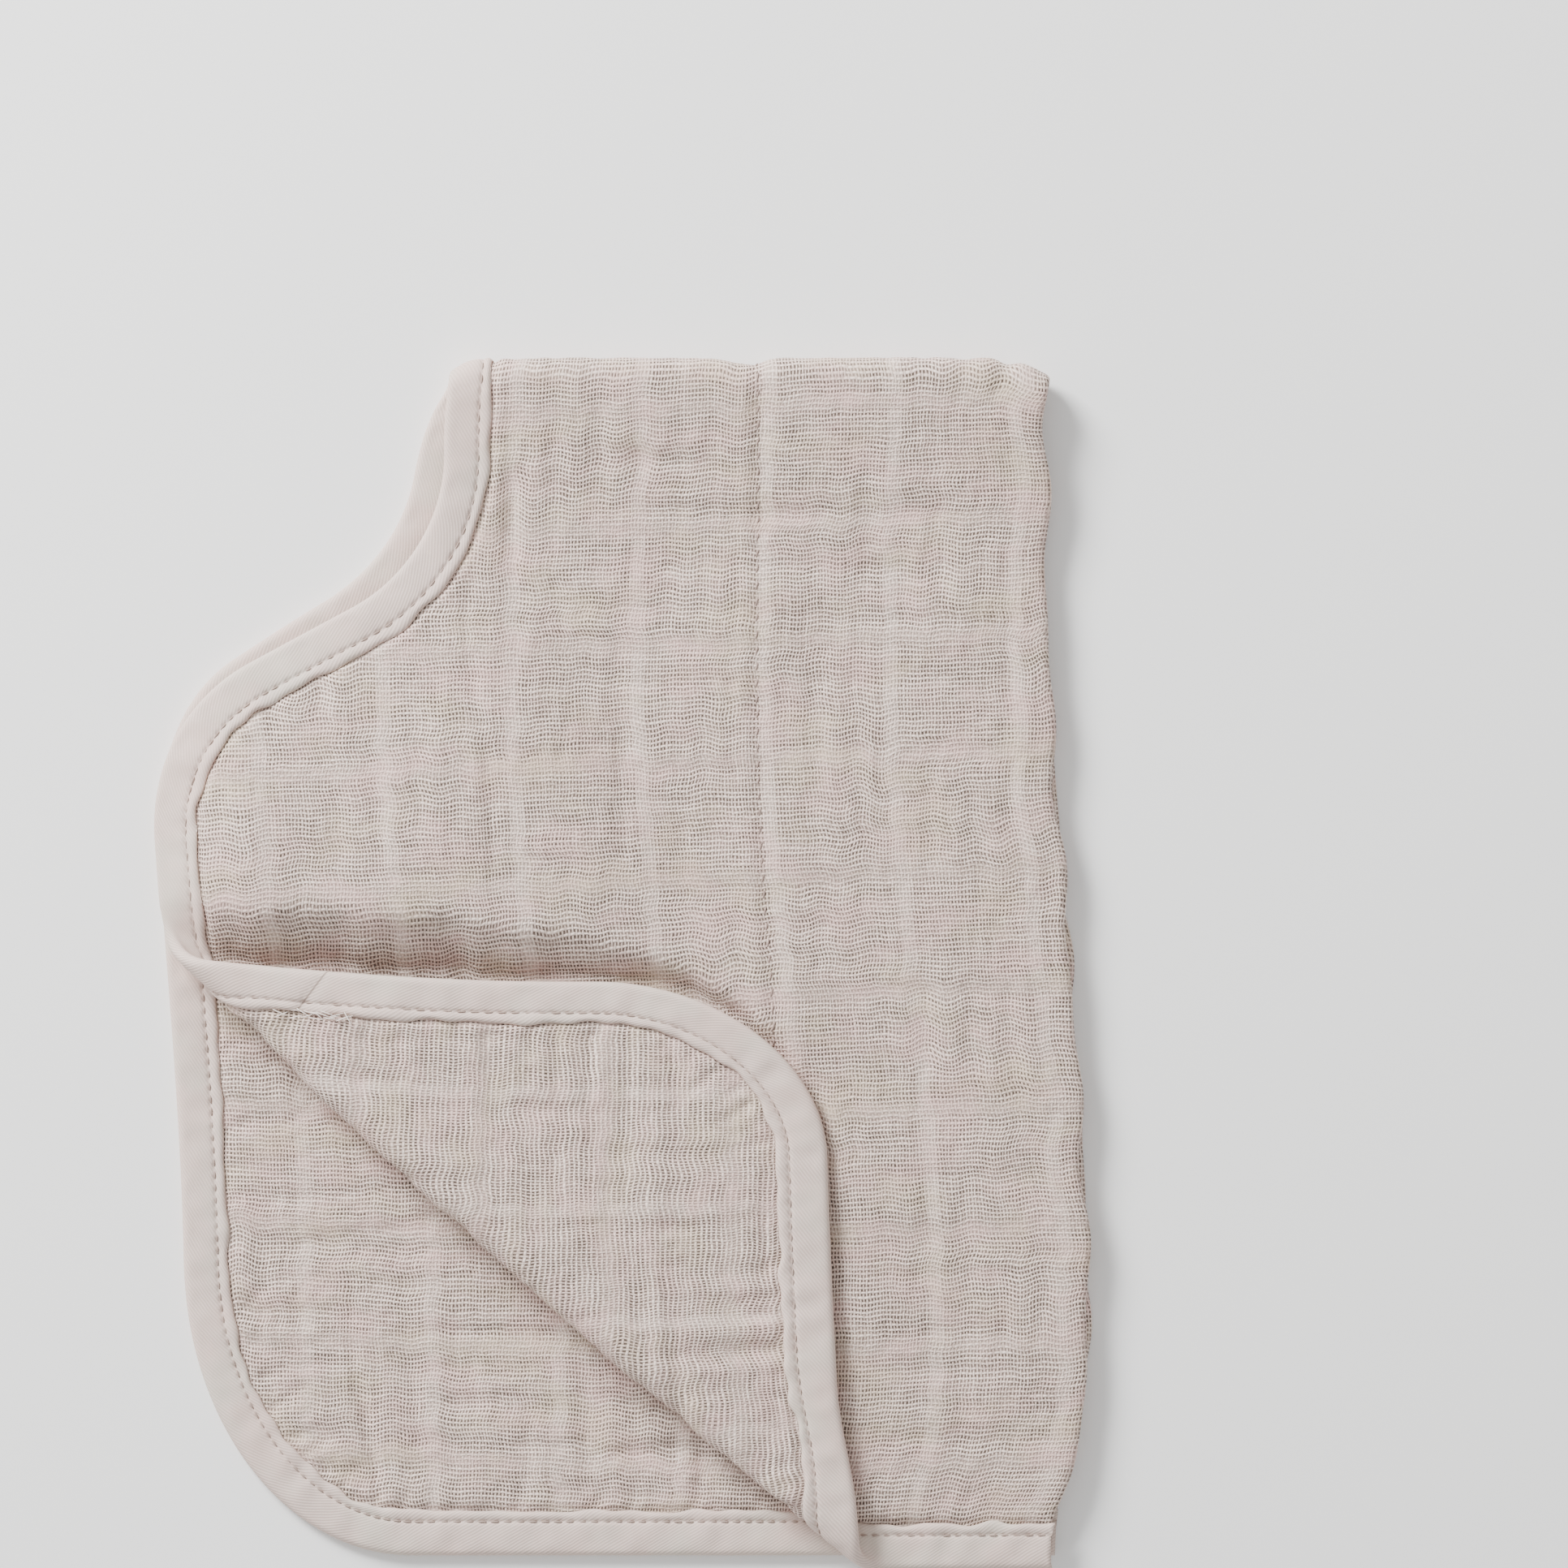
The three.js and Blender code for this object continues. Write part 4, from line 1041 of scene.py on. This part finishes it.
def muslinMaterial(look):
    # Washed plain-woven cotton gauze: fully matte, with open gaps between soft round threads. Its colour
    # holds painted light and shade: lit thread tops, shaded thread sides and shade in the gaps.
    material, tree, shader = newMaterial("washedCottonMuslin")
    uv = addNode(tree, "UVMap", uv_map="weave")

    def cottonVaries(acrossSize, alongSize, detail, output=0):
        # How the cotton changes from place to place, over sizes in mm.
        size = (acrossSize * millimetre, alongSize * millimetre, 1)
        scaled = addNode(tree, "VectorMath", uv, size, operation="DIVIDE")
        return addNode(tree, "TexNoise", output=output, inputs={
            "Vector": scaled, "Scale": 1.0, "Detail": detail, "Roughness": 0.55,
        })

    # Threads stray a little from their rows.
    straying = cottonVaries(look["jitterSize"], look["jitterSize"], 2.0, output=1)
    straying = addNode(tree, "VectorMath", straying, (0.5, 0.5, 0.5), operation="SUBTRACT")
    jitter = 2 * look["threadJitter"] * millimetre
    strayed = addNode(tree, "VectorMath", straying, (jitter, jitter, 0), uv, operation="MULTIPLY_ADD")

    profiles, crossings, bands, openings = [], [], [], []
    for axis in (0, 1):
        place = addNode(tree, "SeparateXYZ", strayed, output=axis)
        threads = addNode(tree, "Math", place, weaving["spacing"][axis] * millimetre, operation="DIVIDE")
        wave = addNode(tree, "Math", threads, turn, operation="MULTIPLY")
        wave = addNode(tree, "Math", wave, operation="COSINE")
        wave = addNode(tree, "Math", wave, 0.5, 0.5, operation="MULTIPLY_ADD")
        thickness = cottonVaries(*look["threadUneven"][axis], 2.0)
        thickness = addNode(tree, "MapRange", thickness, 0.3, 0.7, -0.25, 0.25)
        profile = addNode(tree, "Math", wave, thickness, operation="ADD")
        profiles.append(profile)
        opened, closed = look["gapEdges"][axis]
        openings.append(addNode(
            tree, "MapRange", profile, opened, closed, 1.0, 0.0, interpolation_type="SMOOTHSTEP"))
        crossing = addNode(tree, "Math", threads, math.pi, operation="MULTIPLY")
        crossings.append(addNode(tree, "Math", crossing, operation="COSINE"))
        every, edge = weaving["bandEvery"][axis] * millimetre, look["bandWidth"] / 2 * millimetre
        near = addNode(tree, "Math", place, every / 2, operation="PINGPONG")
        bands.append(addNode(
            tree, "MapRange", near, edge * 0.5, edge * 1.5, 1.0, 0.0, interpolation_type="SMOOTHSTEP"))

    # Where the crossing is 1 the thread across lies over, and where it is -1 it lies under.
    crossing = addNode(tree, "Math", *crossings, operation="MULTIPLY")
    lying = [
        addNode(tree, "Math", crossing, -0.25, 0.66, operation="MULTIPLY_ADD"),
        addNode(tree, "Math", crossing, 0.25, 0.75, operation="MULTIPLY_ADD"),
    ]
    threads = [addNode(tree, "Math", *pair, operation="MULTIPLY") for pair in zip(profiles, lying)]
    height = addNode(tree, "Math", *threads, operation="MAXIMUM")

    # Bands of closer threads
    band = addNode(tree, "Math", *bands, operation="MAXIMUM")
    band = addNode(tree, "Math", band, look["bandClosed"], operation="MULTIPLY")
    lighter = addNode(tree, "Math", bands[0], look["bandShade"], operation="MULTIPLY")
    bandShade = addNode(tree, "Math", bands[1], -look["bandShade"], lighter, operation="MULTIPLY_ADD")

    # Gaps between the threads, painted dark with the shade that lies in them
    grain = cottonVaries(look["grainSize"], look["grainSize"], 1.0)
    fuzz = cottonVaries(look["fuzzSize"], look["fuzzSize"], 1.0)
    openness = cottonVaries(*look["gapPatches"], 4.0)
    shares = [
        addNode(tree, "MapRange", openness, 0.34, 0.6, 0.5, 1.0),
        addNode(tree, "Math", 1.0, band, operation="SUBTRACT"),
        addNode(tree, "MapRange", grain, 0.3, 0.6, 0.75, 1.1),
    ]
    gapShade = addNode(tree, "Math", *openings, operation="MULTIPLY")
    for share in shares:
        gapShade = addNode(tree, "Math", gapShade, share, operation="MULTIPLY")

    # Threads are painted lighter on top and darker at their sides, as light falls on them. Close bands show
    # less of their rows.
    fuzzy = addNode(tree, "Math", fuzz, look["fuzzShare"], height, operation="MULTIPLY_ADD")
    fuzzy = addNode(tree, "Math", grain, look["grainShare"], fuzzy, operation="MULTIPLY_ADD")
    light = addNode(tree, "MapRange", fuzzy, *look["lit"], 0.0, 1.0)
    woven = addNode(tree, "MapRange", fuzz, 0.34, 0.66, 0.0, 0.8)
    closeShare = addNode(tree, "Math", band, 0.8, operation="MULTIPLY")
    share = addNode(tree, "Mix", inputs={0: closeShare, 2: light, 3: woven})
    share = addNode(tree, "Math", share, bandShade, operation="ADD")
    colour = addNode(tree, "Mix", data_type="RGBA", output=2, inputs={
        0: share, 6: toLinear(look["shadedThreadSide"]), 7: toLinear(look["litThreadTop"]),
    })
    for tint, size, (starts, full), most in look["tints"]:
        patches = addNode(tree, "MapRange", cottonVaries(*size, 3.0), starts, full, 0.0, most)
        colour = addNode(tree, "Mix", data_type="RGBA", output=2, inputs={
            0: patches, 6: colour, 7: toLinear(tint),
        })
    # Painted shade in the open gaps.
    colour = addNode(tree, "Mix", data_type="RGBA", output=2, inputs={
        0: gapShade, 6: colour, 7: toLinear(look["gapShade"]),
    })
    finishFabric(tree, shader, look, colour, height)
    weight, roughness = look["sheen"]
    shader.inputs["Sheen Weight"].default_value = weight
    shader.inputs["Sheen Roughness"].default_value = roughness
    return material


tapeLook = {
    "yarn": "#e2cec4",
    # The furrows between the twill's ridges are painted darker, as the shade that lies in them.
    "furrowShade": "#c2aea4",
    "seam": "#8a786f",
    "tints": [  # colour, mm, place in the pattern, share
        ("#dfc3b8", 14.0, 0.1, 0.4),
        ("#cfcdbd", 18.0, 0.3, 0.4),
    ],
    "twillSpacing": 0.62,  # mm between the twill's ridges
    "twillAngle": math.radians(30),
    "twillWander": (0.5, 6.0),  # mm, over what length
    "wear": (0.9, 0.5),  # how much ridges are worn away, in patches of how many mm
    "blotches": (0.5, 3.0),
    "relief": 0.06,  # mm
    "reliefStrength": 0.6,
    "roughness": 0.85,
    "specular": 0.25,
}


def tapeMaterial(look):
    # Washed cotton twill cut on the bias: matte, with fine slanting ridges, painted shade in the furrows
    # between them, and a little uneven in colour.
    material, tree, shader = newMaterial("washedCottonTwill")
    uv = addNode(tree, "UVMap", uv_map="weave")
    along = addNode(tree, "SeparateXYZ", uv, output=0)
    around = addNode(tree, "SeparateXYZ", uv, output=1)

    def cottonVaries(size, detail, moved=0.0):
        # How the cotton changes from place to place, over a size in mm.
        place = addNode(tree, "VectorMath", uv, (moved, moved, 0), operation="ADD")
        return addNode(tree, "TexNoise", inputs={
            "Vector": place, "Scale": 1 / (size * millimetre), "Detail": detail,
        })

    # Twill ridges, worn here and there
    wander, wanderSize = look["twillWander"]
    across = addNode(tree, "Math", along, math.sin(look["twillAngle"]), operation="MULTIPLY")
    across = addNode(tree, "Math", around, math.cos(look["twillAngle"]), across, operation="MULTIPLY_ADD")
    across = addNode(
        tree, "Math", cottonVaries(wanderSize, 2.0), wander * millimetre, across, operation="MULTIPLY_ADD")
    ridge = addNode(tree, "Math", across, turn / (look["twillSpacing"] * millimetre), operation="MULTIPLY")
    ridge = addNode(tree, "Math", ridge, operation="SINE")
    ridge = addNode(tree, "Math", ridge, 0.5, 0.5, operation="MULTIPLY_ADD")
    wear, wearSize = look["wear"]
    kept = addNode(tree, "Math", cottonVaries(wearSize, 2.0), wear, 0.55, operation="MULTIPLY_ADD")
    worn = addNode(tree, "Math", ridge, kept, operation="MULTIPLY")

    # Colour: yarn on the twill's ridges, with painted shade in the furrows between them
    blotch, blotchSize = look["blotches"]
    ridgeShare = addNode(tree, "Math", worn, 0.8, -0.1, operation="MULTIPLY_ADD")
    share = addNode(
        tree, "Math", cottonVaries(blotchSize, 3.0, 0.2), blotch, ridgeShare, operation="MULTIPLY_ADD")
    colour = addNode(tree, "Mix", data_type="RGBA", output=2, inputs={
        0: share, 6: toLinear(look["furrowShade"]), 7: toLinear(look["yarn"]),
    })
    for tint, size, moved, most in look["tints"]:
        patches = addNode(tree, "MapRange", cottonVaries(size, 3.0, moved), 0.48, 0.66, 0.0, most)
        colour = addNode(tree, "Mix", data_type="RGBA", output=2, inputs={
            0: patches, 6: colour, 7: toLinear(tint),
        })

    # The dark line of the join
    lineFrom, lineTo = (width * millimetre for width in tapeJoin["lineWidth"])
    joinPlace = (joinDistance + tapeJoin["inset"] * tapeJoin["slant"]) * millimetre
    fromJoin = addNode(tree, "Math", around, tapeJoin["slant"], along, operation="MULTIPLY_ADD")
    fromJoin = addNode(tree, "Math", fromJoin, joinPlace, operation="SUBTRACT")
    fromJoin = addNode(tree, "Math", fromJoin, operation="ABSOLUTE")
    line = addNode(tree, "MapRange", fromJoin, lineFrom, lineTo, tapeJoin["lineShare"], 0.0)
    colour = addNode(tree, "Mix", data_type="RGBA", output=2, inputs={
        0: line, 6: colour, 7: toLinear(look["seam"]),
    })
    finishFabric(tree, shader, look, colour, worn)
    return material


threadLook = {"tapeThread": "#a9958b", "quiltThread": "#97827a", "looseThread": "#efe3da", "roughness": 0.8}


def threadMaterial(name, colour):
    # Spun cotton thread: matte. Sewn, it is seen in the shade of its own stitch holes, so it is darker
    # than the cloth, and where it is frayed it is lighter.
    material, _, shader = newMaterial(name)
    shader.inputs["Base Color"].default_value = toLinear(colour)
    shader.inputs["Roughness"].default_value = threadLook["roughness"]
    return material


for piece, material in (
    (muslin, muslinMaterial(muslinLook)),
    (binding, tapeMaterial(tapeLook)),
    (tapeStitches, threadMaterial("spunCottonTapeThread", threadLook["tapeThread"])),
    (quiltStitches, threadMaterial("spunCottonQuiltThread", threadLook["quiltThread"])),
    (looseThreads, threadMaterial("spunCottonLooseThread", threadLook["looseThread"])),
):
    piece.data.materials.append(material)
    print("material", material.name)


# Surface, light and camera

stageValues = {
    "floorSize": 3.0,  # metres
    "floorColour": "#fbfbfa",
    "floorRoughness": 0.9,
    "floorSinks": 0.0001,  # metres, so that it doesn't cut the cloth's flat underside
    "cameraHeight": 1.7,
    "sensor": 36.0,  # mm
    "viewWidth": 0.345,  # metres that the picture shows across
    "viewMiddle": (36.07, 39.29),  # mm from the middle of the folded cloth, in plan
    "keyPower": 64.0,
    "keyPlace": (-0.882, 1.051, 0.824),  # metres: from the upper left, 31 degrees high
    "keySize": 0.6,
    "skyStrength": 0.8,
}


def makeStage(values):
    mesh = bpy.data.meshes.new("floor")
    reach = values["floorSize"] / 2
    corners = [(-reach, -reach, 0), (reach, -reach, 0), (reach, reach, 0), (-reach, reach, 0)]
    mesh.from_pydata(corners, [], [(0, 1, 2, 3)])
    floor = bpy.data.objects.new("floor", mesh)
    bpy.context.scene.collection.objects.link(floor)
    floor.location.z = -values["floorSinks"]
    material, _, shader = newMaterial("matteStudioCard")  # pressed card, which spreads light evenly
    shader.inputs["Base Color"].default_value = toLinear(values["floorColour"])
    shader.inputs["Roughness"].default_value = values["floorRoughness"]
    mesh.materials.append(material)
    light = bpy.data.lights.new("key", "AREA")
    light.energy = values["keyPower"]
    light.size = values["keySize"]
    key = bpy.data.objects.new("key", light)
    bpy.context.scene.collection.objects.link(key)
    key.location = values["keyPlace"]
    key.rotation_euler = (-Vector(values["keyPlace"])).to_track_quat("-Z", "Y").to_euler()
    world = bpy.data.worlds.new("studio")
    world.use_nodes = True
    sky = world.node_tree.nodes["Background"]
    sky.inputs["Color"].default_value = (1, 1, 1, 1)
    sky.inputs["Strength"].default_value = values["skyStrength"]
    bpy.context.scene.world = world
    lens = bpy.data.cameras.new("camera")
    lens.sensor_width = values["sensor"]
    lens.lens = values["sensor"] * values["cameraHeight"] / values["viewWidth"]
    lens.clip_end = 10
    camera = bpy.data.objects.new("camera", lens)
    bpy.context.scene.collection.objects.link(camera)
    middle = (np.array(values["viewMiddle"]) + frameShift[:2]) * millimetre
    camera.location = (middle[0], middle[1], values["cameraHeight"])
    bpy.context.scene.camera = camera


makeStage(stageValues)
print("stage")

# Each piece hangs under the root body, and where it stands for a CAD part, that part is hidden

for piece, node, slotName in (
    (muslin, "muslin_cloth", "muslin"), (binding, "edge_binding", "binding"),
    (tapeStitches, None, "binding"), (quiltStitches, None, "muslin"), (looseThreads, None, "binding"),
):
    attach(piece, "root")
    if node:
        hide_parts(node)
